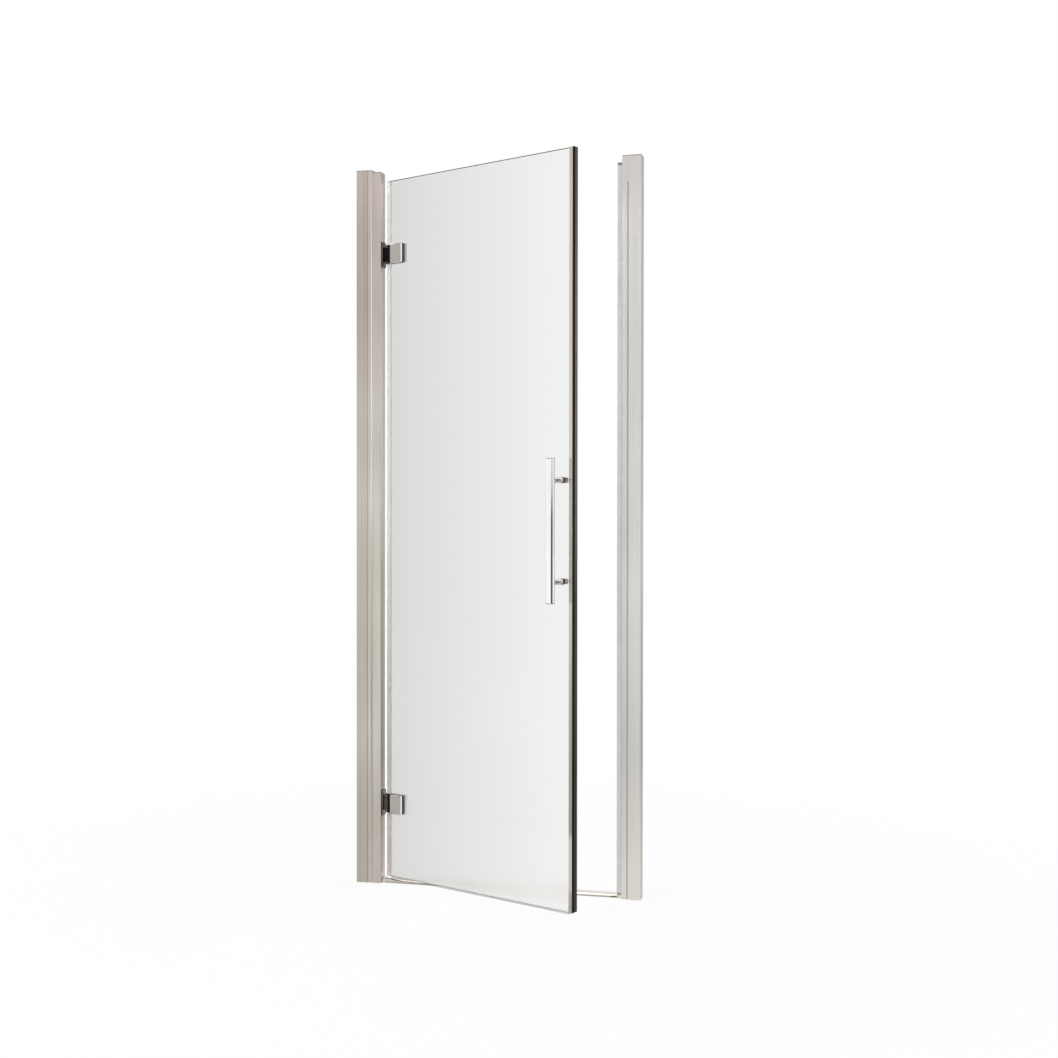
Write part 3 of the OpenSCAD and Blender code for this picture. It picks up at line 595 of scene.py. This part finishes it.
def finish_piece(node: str, mesh: BMesh, *finishes: Paint,
                 which: Chooser = lambda middle, normal: 0) -> None:
    """Args:
        node: the node's name. The record gives its body.
        mesh: the finer mesh, in the door's axes, which is freed.
        finishes: the piece's finishes, in the order of their numbers.
        which: gives the number of each face's finish.
    """
    for face in mesh.faces:
        face.smooth = True
        face.material_index = int(which(face.calc_center_median() / MM, face.normal))
    for edge in mesh.edges:
        edge.smooth = edge.calc_face_angle(0.0) < SMOOTH_BELOW
    name, body = f"{node}_dressed", BODY_OF[node]
    data = bpy.data.meshes.new(name)
    mesh.to_mesh(data)
    mesh.free()
    for finish in finishes:
        data.materials.append(finish.material)
    piece = bpy.data.objects.new(name, data)
    bpy.context.scene.collection.objects.link(piece)
    even = piece.modifiers.new("even_normals", "WEIGHTED_NORMAL")
    even.keep_sharp = True
    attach(piece, body)
    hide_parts(node)
    LOG.info("%s: %d faces on %s", name, len(data.polygons), body)


def dress(node: str, *finishes: Paint, edge_mm: float = 0.0,
          which: Chooser = lambda middle, normal: 0) -> None:
    """Gives a CAD node broken edges and its finishes, with its shape as it is.

    Args:
        node: the node's name.
        finishes: its finishes, in the order of their numbers.
        edge_mm: how far the rounding of its edges reaches, or 0 for none.
        which: gives the number of each face's finish.
    """
    mesh = merged_copy(node)
    if edge_mm:
        break_edges(mesh, edge_mm)
    finish_piece(node, mesh, *finishes, which=which)


def lathe(outline: Sequence[tuple[float, float]], steps: int = 48, closed: bool = False) -> BMesh:
    """Turns an outline about the Z axis, as on a lathe.

    Args:
        outline: radius and height of each point in millimetres.
        steps: the number of facets round the axis.
        closed: whether the outline's last point joins its first.

    Returns:
        A new closed mesh with its faces outwards.
    """
    mesh = bmesh.new()
    points = [mesh.verts.new((radius * MM, 0, height * MM)) for radius, height in outline]
    pairs = list(zip(points, points[1:])) + ([(points[-1], points[0])] if closed else [])
    edges = [mesh.edges.new(pair) for pair in pairs]
    bmesh.ops.spin(mesh, geom=points + edges, cent=(0, 0, 0), axis=(0, 0, 1), dvec=(0, 0, 0),
                   angle=math.tau, steps=steps, use_merge=True, use_duplicate=False)
    bmesh.ops.remove_doubles(mesh, verts=mesh.verts[:], dist=SAME_POINT)
    bmesh.ops.dissolve_degenerate(mesh, edges=mesh.edges[:], dist=SAME_POINT)
    bmesh.ops.recalc_face_normals(mesh, faces=mesh.faces[:])
    return mesh


def add_mesh(target: BMesh, part: BMesh, place: Matrix) -> None:
    """Moves a mesh to its place and adds it to another.

    Args:
        target: the mesh that grows.
        part: the mesh to add, which is freed.
        place: where it goes.
    """
    bmesh.ops.transform(part, matrix=place, verts=part.verts[:])
    carrier = bpy.data.meshes.new("carrier")
    part.to_mesh(carrier)
    part.free()
    target.from_mesh(carrier)
    bpy.data.meshes.remove(carrier)


def socket_screw(head_r: float, shank_r: float, length: float, socket_r: float = 1.7,
                 socket_depth: float = 1.6) -> BMesh:
    """Makes a countersunk screw with a hexagon socket, its head at Z = 0 and its tip below.

    Args:
        head_r: the head's radius in millimetres.
        shank_r: the shank's radius.
        length: the whole length.
        socket_r: the socket's radius over its corners.
        socket_depth: the socket's depth.

    Returns:
        A new closed mesh.
    """
    mesh = bmesh.new()
    rim = bmesh.ops.create_circle(mesh, segments=24, radius=head_r * MM)["verts"]
    hexagon = bmesh.ops.create_circle(mesh, segments=6, radius=socket_r * MM)["verts"]
    bmesh.ops.bridge_loops(mesh, edges=mesh.edges[:])
    for loop, steps in ((hexagon, ((1.0, socket_depth),)),
                        (rim, ((1.0, 0.3), (shank_r / head_r, head_r - shank_r + 0.3), (1.0, length)))):
        edges = [edge for edge in mesh.edges if all(vert in loop for vert in edge.verts)]
        depth = 0.0
        for factor, down in steps:
            grown = bmesh.ops.extrude_edge_only(mesh, edges=edges)["geom"]
            verts = [item for item in grown if isinstance(item, bmesh.types.BMVert)]
            edges = [item for item in grown if isinstance(item, bmesh.types.BMEdge)]
            bmesh.ops.scale(mesh, vec=(factor, factor, 1), verts=verts)
            bmesh.ops.translate(mesh, vec=(0, 0, (depth - down) * MM), verts=verts)
            depth = down
        bmesh.ops.edgeloop_fill(mesh, edges=edges)
    bmesh.ops.recalc_face_normals(mesh, faces=mesh.faces[:])
    return mesh


@dataclass
class Posts:
    """The two wall channels with their jambs, the hinge post, their caps and the strike seal."""

    edge: float = 0.3
    cap_edge: float = 0.5
    cover_edge: float = 0.7
    groove_x: tuple[float, float] = (339.2, 343.8)
    groove_front: float = -15.3
    corner_x: float = -335.3
    corner_front: float = -12.0

    def in_groove(self, middle: Vector, normal: Vector) -> bool:
        """Says whether a face lies inside the strike jamb's groove, which takes a painted shade."""
        low, high = self.groove_x
        return low < middle.x < high and self.groove_front < middle.y < 0

    def on_corner(self, middle: Vector, normal: Vector) -> bool:
        """Says whether a face lies on the hinge jamb's round front corner, which takes a painted highlight.
        """
        return middle.x > self.corner_x and middle.y < self.corner_front

    def faces_right(self, middle: Vector, normal: Vector) -> bool:
        """Says whether a face looks towards the latch side, where a copy of the finish with painted light
        and shade goes.
        """
        return normal.x > 0.9

    def build(self) -> None:
        """Builds and dresses every piece of both posts."""
        edge = self.edge
        dress("hinge_wall_channel", Paint.HINGE_CHANNEL, edge_mm=edge)
        dress("hinge_jamb", Paint.HINGE_POST, Paint.JAMB_CORNER, edge_mm=edge, which=self.on_corner)
        # its screw holes leave no room for rounded edges
        dress("hinge_post", Paint.HINGE_POST, Paint.POST_SIDE, which=self.faces_right)
        dress("strike_wall_channel", Paint.STRIKE_POST, Paint.WALL_SIDE, edge_mm=edge,
              which=self.faces_right)
        dress("strike_jamb", Paint.STRIKE_POST, Paint.GROOVE, edge_mm=edge, which=self.in_groove)
        dress("groove_infill", Paint.STRIKE_POST)
        for cap in ("hinge_channel_cap", "strike_channel_cap", "hinge_post_cap"):
            dress(cap, Paint.GREY_PLASTIC, edge_mm=self.cap_edge)
        dress("strike_seal", Paint.PALE_PLASTIC)
        dress("strike_seal_plug", Paint.GREY_PLASTIC, edge_mm=edge)
        dress("strike_magnet", Paint.MAGNET)
        dress("jamb_fixing_screws", Paint.STEEL, edge_mm=edge)
        dress("screw_cover_caps", Paint.GREY_PLASTIC, edge_mm=self.cover_edge)


@dataclass
class Threshold:
    """The half-round bar across the opening and the caps on its ends."""

    cap_edge: float = 0.3

    def build(self) -> None:
        """Builds the bar and its caps."""
        dress("threshold_bar", Paint.SILL)
        dress("threshold_end_caps", Paint.WHITE_PLASTIC, edge_mm=self.cap_edge)


@dataclass
class Hinge:
    """One clamp hinge: a plate with a knuckle on the post, and a fork with clamp plates.

    The clamp's places are in the leaf's own axes, and all sizes are in millimetres.
    """

    side: str
    height: float
    knuckle: Paint
    screw_r: float = 2.5
    head_r: float = 4.7
    plate_edge: float = 0.5
    plate_face_x: float = -304.5
    plate_screw_y: float = 7.0
    plate_screw_z: float = 26.5
    plate_screw_len: float = 14.0
    clamp_edge: float = 2.2
    clamp_start: float = 16.0
    clamp_out: float = 11.6
    fork_front: float = -9.1
    clamp_screw_x: float = 27.0
    clamp_screw_z: float = 7.0
    clamp_screw_len: float = 20.2
    back_edge: float = 1.0
    screw_clear_r: float = 9.0
    bush_edge: float = 0.2
    pin_edge: float = 0.3

    def clamp_finish(self, middle: Vector, normal: Vector) -> int:
        """Tells apart the clamp's face, its bevels with a painted highlight, its rim with a painted shade
        and its fork.

        Args:
            middle: the middle of a face.
            normal: its normal.

        Returns:
            The number of the face's finish.
        """
        place = on_leaf(middle)
        facing = (DOOR_TO_LEAF.to_3x3() @ normal).y
        if place.x < self.clamp_start + NEAR and place.y > self.fork_front:
            return 3
        if facing < -0.9:
            return 0
        return 1 if facing < -0.3 else 2

    def clamp(self) -> None:
        """Builds the outer clamp plate in satin chrome, with painted highlight and shade on its edges, and
        its fork near black.
        """
        mesh = merged_copy(f"{self.side}_hinge_clamp")
        break_edges(mesh, self.clamp_edge, 1, lambda middle: on_leaf(middle).y < NEAR - self.clamp_out)
        finish_piece(f"{self.side}_hinge_clamp", mesh, Paint.CLAMP_FACE, Paint.CHROME,
                     Paint.CLAMP_RIM, Paint.NEAR_BLACK_METAL, which=self.clamp_finish)

    def on_back_rim(self, middle: Vector) -> bool:
        """Says whether an edge is on the back plate's outer face and away from its screws."""
        place = on_leaf(middle)
        by_screw = any(math.hypot(place.x - self.clamp_screw_x, place.z - self.height - dz)
                       < self.screw_clear_r for dz in (-self.clamp_screw_z, self.clamp_screw_z))
        return place.y > self.clamp_out - NEAR and not by_screw

    def back_plate(self) -> None:
        """Builds the inner clamp plate."""
        mesh = merged_copy(f"{self.side}_back_plate")
        break_edges(mesh, self.back_edge, 3, self.on_back_rim)
        finish_piece(f"{self.side}_back_plate", mesh, Paint.CHROME)

    def screws(self) -> None:
        """Builds the countersunk screws of the wall plate and of the clamp."""
        plate_screws, clamp_screws = bmesh.new(), bmesh.new()
        for dz in (-1, 1):
            for dy in (-1, 1):
                place = at(self.plate_face_x, dy * self.plate_screw_y,
                           self.height + dz * self.plate_screw_z)
                add_mesh(plate_screws, socket_screw(self.head_r, self.screw_r, self.plate_screw_len),
                         place @ Matrix.Rotation(math.pi / 2, 4, "Y"))
            place = at(self.clamp_screw_x, self.clamp_out, self.height + dz * self.clamp_screw_z)
            add_mesh(clamp_screws, socket_screw(self.head_r, self.screw_r, self.clamp_screw_len),
                     LEAF_TO_DOOR @ place @ Matrix.Rotation(-math.pi / 2, 4, "X"))
        finish_piece(f"{self.side}_plate_screws", plate_screws, Paint.PLATE_NICKEL)
        finish_piece(f"{self.side}_clamp_screws", clamp_screws, Paint.STEEL)

    def build(self) -> None:
        """Builds the whole hinge, from the plate on the post with its darker knuckle."""
        dress(f"{self.side}_wall_plate", Paint.PLATE_NICKEL, self.knuckle, edge_mm=self.plate_edge,
              which=lambda middle, normal: middle.x > self.plate_face_x + 0.2)
        self.clamp()
        self.back_plate()
        self.screws()
        dress(f"{self.side}_hinge_bushes", Paint.NYLON, edge_mm=self.bush_edge)
        dress(f"{self.side}_hinge_pin", Paint.STEEL, edge_mm=self.pin_edge)
        dress(f"{self.side}_clamp_gaskets", Paint.GREY_RUBBER)


@dataclass
class GlassLeaf:
    """The pane with its seals and the latch profile on its free edge, sized in millimetres."""

    arris: float = 0.9
    low_rim: float = 0.9
    high_rim: float = 1.4
    glass_low: float = 18.5
    glass_high: float = 1821.5
    gasket_end: float = 606.2
    gasket_lip: float = -0.6

    def pane(self) -> None:
        """Builds the pane, with a ground rim along its top and bottom edges."""
        mesh = merged_copy("glass_panel")
        break_edges(mesh, self.arris, 2, lambda middle: not (
            self.glass_low + NEAR < middle.z < self.glass_high - NEAR))
        low, high = self.glass_low + self.low_rim, self.glass_high - self.high_rim
        for height in (low, high):
            cut(mesh, (0, 0, height * MM), (0, 0, 1))
        finish_piece("glass_panel", mesh, Paint.GLASS, Paint.GLASS_EDGE,
                     which=lambda middle, normal: not low < middle.z < high)

    def on_gasket_face(self, middle: Vector, normal: Vector) -> bool:
        """Says whether a face is on the magnet gasket's end, behind its lip, which takes a painted
        reflection.
        """
        place = on_leaf(middle)
        return place.x > self.gasket_end and place.y > self.gasket_lip

    def build(self) -> None:
        """Builds the pane and everything clipped to it."""
        self.pane()
        dress("hinge_edge_seal", Paint.SEAL)
        dress("bottom_drip_seal", Paint.DRIP_SEAL, Paint.DRIP_LIP,
              which=lambda middle, normal: middle.z < self.glass_low + NEAR)
        dress("latch_profile", Paint.LATCH_METAL)
        gasket = merged_copy("latch_magnet_gasket")
        cut(gasket, LEAF_TO_DOOR @ Vector((0, self.gasket_lip * MM, 0)),
            LEAF_TO_DOOR.to_3x3() @ Vector((0, 1, 0)))
        finish_piece("latch_magnet_gasket", gasket, Paint.BLACK_RUBBER, Paint.GASKET_FACE,
                     which=self.on_gasket_face)
        dress("latch_magnet", Paint.MAGNET)


@dataclass
class Handle:
    """A tubular bar on two posts through the glass, with caps on the inner side."""

    bar_x: float = 569.6
    bar_y: float = -47.0
    bar_z: float = 920.0
    bar_r: float = 11.0
    bar_wall: float = 2.0
    bar_len: float = 338.0
    bar_steps: int = 96
    end_t: float = 2.0
    plug_len: float = 8.0
    posts_apart: float = 240.0
    post_r: float = 7.0
    washer_r: float = 7.4
    washer_t: float = 1.5
    half_glass: float = 3.0
    stud_r: float = 3.0
    cap_len: float = 14.0
    cap_skin: float = 4.0
    hole_r: float = 4.9
    gap: float = 0.1
    end_crown: float = 0.2
    bar_edge: float = 0.3
    end_edge: float = 0.7
    washer_edge: float = 0.4
    cap_edge: float = 0.8

    def bar(self) -> None:
        """Builds the tube and its end plates."""
        place = LEAF_TO_DOOR @ at(self.bar_x, self.bar_y, self.bar_z)
        half, bore = self.bar_len / 2, self.bar_r - self.bar_wall
        plug = bore - self.gap
        tube, ends = bmesh.new(), bmesh.new()
        add_mesh(tube, lathe(((bore, -half), (self.bar_r, -half), (self.bar_r, half),
                              (bore, half)), self.bar_steps, closed=True), place)
        break_edges(tube, self.bar_edge)
        finish_piece("handle_bar", tube, Paint.BAR_CHROME)
        for turn in (0.0, math.pi):
            plate = lathe(((0, half - self.plug_len), (plug, half - self.plug_len), (plug, half),
                           (self.bar_r, half), (self.bar_r, half + self.end_t - self.end_crown),
                           (0, half + self.end_t)), self.bar_steps)
            break_edges(plate, self.end_edge, 3, lambda middle: middle.z > half + 1)
            add_mesh(ends, plate, place @ Matrix.Rotation(turn, 4, "X"))
        # the end plates in the clamp's darkened chrome: a painted shade line at both ends of the bar
        finish_piece("handle_bar_ends", ends, Paint.CLAMP_FACE)

    def fixings(self) -> None:
        """Builds the washers and the rear caps at both posts."""
        rear = self.half_glass + self.washer_t
        end = -rear - self.cap_len
        washers, caps = bmesh.new(), bmesh.new()
        for dz in (-0.5, 0.5):
            place = (LEAF_TO_DOOR @ at(self.bar_x, 0, self.bar_z + dz * self.posts_apart)
                     @ Matrix.Rotation(math.pi / 2, 4, "X"))
            for turn in (0.0, math.pi):
                washer = lathe(((self.stud_r, self.gap), (self.hole_r, self.gap),
                                (self.hole_r, self.half_glass), (self.washer_r, self.half_glass),
                                (self.washer_r, rear), (self.stud_r, rear)), closed=True)
                break_edges(washer, self.washer_edge, 2,
                            lambda middle: middle.z > self.half_glass - self.gap)
                add_mesh(washers, washer, place @ Matrix.Rotation(turn, 4, "X"))
            cap = lathe(((self.stud_r, -rear), (self.post_r, -rear), (self.post_r, end),
                         (0, end), (0, end + self.cap_skin), (self.stud_r, end + self.cap_skin)),
                        closed=True)
            break_edges(cap, self.cap_edge, 3, lambda middle: middle.z < end + 0.5)
            add_mesh(caps, cap, place)
        finish_piece("handle_washers", washers, Paint.BLACK_RUBBER)
        # painted shade: the lower rear cap in the posts' darkened chrome, the upper one darker still
        finish_piece("handle_rear_caps", caps, Paint.POST_CHROME, Paint.CAP_CHROME,
                     which=lambda middle, normal: middle.z > self.bar_z)

    def build(self) -> None:
        """Builds the whole handle."""
        self.bar()
        self.fixings()
        # the posts in the darkened chrome: painted shade
        dress("handle_posts", Paint.POST_CHROME)
        dress("handle_studs", Paint.STEEL)


def eye_rays(tree: Tree) -> tuple[Node, Node]:
    """Adds the test for the rays that the eye follows, straight or through glass.

    Args:
        tree: the node tree to add to.

    Returns:
        The light path's node, and a node that is one for those rays.
    """
    rays = add_node(tree, "LightPath")
    return rays, add_node(tree, "Math", {0: rays.outputs["Is Camera Ray"],
                                         1: rays.outputs["Is Transmission Ray"]}, operation="MAXIMUM")


def add_sheet(name: str, width: float, depth: float, place: Matrix, material: Material,
              in_mirrors_only: bool = True) -> None:
    """Adds a flat piece of the studio, which is no part of the door.

    Args:
        name: the piece's name.
        width: its size along its own X, in metres.
        depth: its size along its own Y.
        place: where its middle goes.
        material: its finish.
        in_mirrors_only: whether nothing but shiny surfaces shows it.
    """
    mesh = bmesh.new()
    bmesh.ops.create_grid(mesh, x_segments=2, y_segments=2, size=0.5)
    bmesh.ops.scale(mesh, vec=(width, depth, 1), verts=mesh.verts[:])
    bmesh.ops.transform(mesh, matrix=place, verts=mesh.verts[:])
    data = bpy.data.meshes.new(name)
    mesh.to_mesh(data)
    mesh.free()
    data.materials.append(material)
    piece = bpy.data.objects.new(name, data)
    bpy.context.scene.collection.objects.link(piece)
    if in_mirrors_only:
        for ray in ("camera", "diffuse", "transmission", "shadow", "volume_scatter"):
            setattr(piece, f"visible_{ray}", False)


@dataclass
class Studio:
    """A white studio: camera, world, floor, lamps and dark flags that only metal mirrors."""

    lens_mm: float = 51.4
    sensor_mm: float = 36.0
    camera_at: Point = (1.0472, -3.7096, 0.9601)
    yaw: float = 0.254
    pitch: float = -0.010
    roll: float = 0.001
    floor_width: float = 60.0
    floor_drop_mm: float = 0.5
    shadow_reach: float = 0.7
    shadow_share: float = 0.15
    soft_fill: str = "#DCDCDC"
    # studio tones by compass angle from the door's outer side, positive towards the latch side
    tones: Stops = (
        (-180, "#D0D0D0"), (-165, "#F4F4F4"), (-100, "#FFFFFF"), (-40, "#FFFFFF"),
        (-24, "#EDEDED"), (-8, "#FBFBFB"), (20, "#FFFFFF"), (70, "#FFFFFF"), (105, "#F0F0F0"),
        (112, "#CFCFCF"), (150, "#C8C8C8"), (160, "#BEBEBE"), (172, "#C2C2C2"), (180, "#D0D0D0"))
    # a grey flag to the right of the camera: its angle and distance from the handle, and size
    handle_at: tuple[float, float] = (0.2067, -0.2746)
    flag_angle: float = 53.0
    flag_away: float = 3.0
    flag_size: tuple[float, float] = (2.8, 1.3)
    flag_tones: Stops = ((0.0, "#4C4C4C"), (0.95, "#5A5A5A"), (1.08, "#C8C8C8"), (1.3, "#E8E8E8"))
    # a dark mat on the floor behind the door: its middle and size
    mat_at: tuple[float, float] = (1.1, 0.75)
    mat_size: tuple[float, float] = (0.8, 0.5)
    mat_lift: float = 2 * MM
    # each lamp's name, place and power
    lamp_rows: tuple[tuple[str, Point, float], ...] = (
        ("key", (-2.2, -3.6, 4.2), 110.0), ("back", (2.0, 3.0, 4.5), 60.0))
    lamp_target: Point = (0.0, 0.0, 0.9)
    lamp_width: float = 3.5

    def camera(self) -> None:
        """Places the camera at the photograph's viewing angle."""
        lens = bpy.data.cameras.new("camera")
        lens.lens, lens.sensor_width = self.lens_mm, self.sensor_mm
        lens.clip_end = 100.0
        ahead = Vector((-math.sin(self.yaw) * math.cos(self.pitch),
                        math.cos(self.yaw) * math.cos(self.pitch), math.sin(self.pitch)))
        right = Vector((math.cos(self.yaw), math.sin(self.yaw), 0))
        up = right.cross(ahead)
        turned = (math.cos(self.roll) * right + math.sin(self.roll) * up,
                  math.cos(self.roll) * up - math.sin(self.roll) * right, -ahead)
        camera = bpy.data.objects.new("camera", lens)
        camera.matrix_world = (Matrix.Translation(self.camera_at)
                               @ Matrix(turned).transposed().to_4x4())
        bpy.context.scene.collection.objects.link(camera)
        bpy.context.scene.camera = camera

    def world(self) -> None:
        """Lights the room: white to the eye and through glass, toned by angle to metal."""
        world = bpy.data.worlds.new("studio")
        world.use_nodes = True
        tree = world.node_tree
        tree.nodes.clear()
        direction = add_node(tree, "TexCoord").outputs["Generated"]
        axes = add_node(tree, "SeparateXYZ", {0: direction})
        towards = add_node(tree, "Math", {0: axes.outputs["Y"], 1: -1.0}, operation="MULTIPLY")
        angle = add_node(tree, "Math", {0: axes.outputs["X"], 1: towards}, operation="ARCTAN2")
        share = add_node(tree, "MapRange", {0: angle, 1: -math.pi, 2: math.pi})
        mirrored = add_node(tree, "ValToRGB", {
            0: share}, [((degrees + 180) / 360, tone) for degrees, tone in self.tones])
        rays, seen = eye_rays(tree)
        soft = add_node(tree, "Background", {0: linear(self.soft_fill)})
        toned = add_node(tree, "Background", {0: mirrored})
        white = add_node(tree, "Background", {0: (1, 1, 1, 1)})
        to_metal = add_node(tree, "MixShader", {0: rays.outputs["Is Glossy Ray"], 1: soft, 2: toned})
        room = add_node(tree, "MixShader", {0: seen, 1: to_metal, 2: white})
        add_node(tree, "OutputWorld", {"Surface": room})
        bpy.context.scene.world = world

    def floor(self) -> None:
        """Lays the white floor, which keeps a faint shadow of the door."""
        material, tree, place = blank_material("white_studio_floor")
        paper = add_node(tree, "BsdfDiffuse", {"Color": linear("#F4F4F4")})
        glow = add_node(tree, "Emission", {"Color": (1, 1, 1, 1)})
        rays, seen = eye_rays(tree)
        eye = add_node(tree, "Math", {0: seen, 1: rays.outputs["Is Glossy Ray"]}, operation="MAXIMUM")
        from_door = add_node(tree, "VectorMath", {0: place}, operation="LENGTH").outputs["Value"]
        white_share = add_node(tree, "MapRange", {
            0: from_door, 1: self.shadow_reach, 2: 3 * self.shadow_reach, 3: 1 - self.shadow_share, 4: 1.0})
        share = add_node(tree, "Math", {0: eye, 1: white_share}, operation="MULTIPLY")
        close_material(material, add_node(tree, "MixShader", {0: share, 1: paper, 2: glow}))
        add_sheet("floor", self.floor_width, self.floor_width, at(0, 0, -self.floor_drop_mm),
                  material, in_mirrors_only=False)

    def grey_flag(self) -> None:
        """Stands a grey flag beside the camera, which draws the dark line down the handle."""
        material, tree, place = blank_material("grey_flag_cloth")
        width, height = self.flag_size
        level = add_node(tree, "SeparateXYZ", {0: place}).outputs["Z"]
        share = add_node(tree, "MapRange", {0: level, 1: 0.0, 2: height})
        tone = add_node(tree, "ValToRGB", {
            0: share}, [(above / height, shade) for above, shade in self.flag_tones])
        close_material(material, add_node(tree, "Emission", {"Color": tone}))
        turn, (x, y) = math.radians(self.flag_angle), self.handle_at
        stand = Matrix.Translation((x + self.flag_away * math.sin(turn),
                                    y - self.flag_away * math.cos(turn), height / 2))
        upright = stand @ Matrix.Rotation(turn, 4, "Z") @ Matrix.Rotation(math.pi / 2, 4, "X")
        add_sheet("grey_flag", width, height, upright, material)

    def dark_mat(self) -> None:
        """Lays a dark mat behind the door, which the undersides of the handle's posts mirror."""
        material, tree, place = blank_material("dark_mat_felt")
        folds = add_node(tree, "TexNoise", {"Vector": place, "Scale": 3.0})
        tone = add_node(tree, "ValToRGB", {0: folds}, ((0.3, "#262422"), (0.7, "#302E2C")))
        close_material(material, add_node(tree, "Emission", {"Color": tone}))
        add_sheet("dark_mat", *self.mat_size, Matrix.Translation((*self.mat_at, self.mat_lift)), material)

    def lamps(self) -> None:
        """Hangs two large soft lamps, which shape the plastics and draw the floor's shadow."""
        for name, place, power in self.lamp_rows:
            lamp = bpy.data.lights.new(name, "AREA")
            lamp.energy, lamp.size = power, self.lamp_width
            holder = bpy.data.objects.new(name, lamp)
            aim = Vector(self.lamp_target) - Vector(place)
            holder.matrix_world = (Matrix.Translation(place)
                                   @ aim.to_track_quat("-Z", "Y").to_matrix().to_4x4())
            holder.visible_glossy = False
            bpy.context.scene.collection.objects.link(holder)

    def build(self) -> None:
        """Sets up the whole studio."""
        self.camera()
        self.world()
        self.floor()
        self.grey_flag()
        self.dark_mat()
        self.lamps()
        bpy.context.scene.view_settings.view_transform = "Standard"


def main() -> None:
    """Builds the door around its frame, sub-assembly by sub-assembly."""
    logging.basicConfig(level=logging.INFO, format="%(name)s %(message)s")
    Studio().build()
    for part in (Posts(), Threshold(), Hinge("lower", 208.5, Paint.DARK_BROWN_METAL),
                 Hinge("upper", 1631.5, Paint.NEAR_BLACK_METAL), GlassLeaf(), Handle()):
        part.build()
        LOG.info("%s is done", type(part).__name__)


if __name__ == "__main__":
    main()
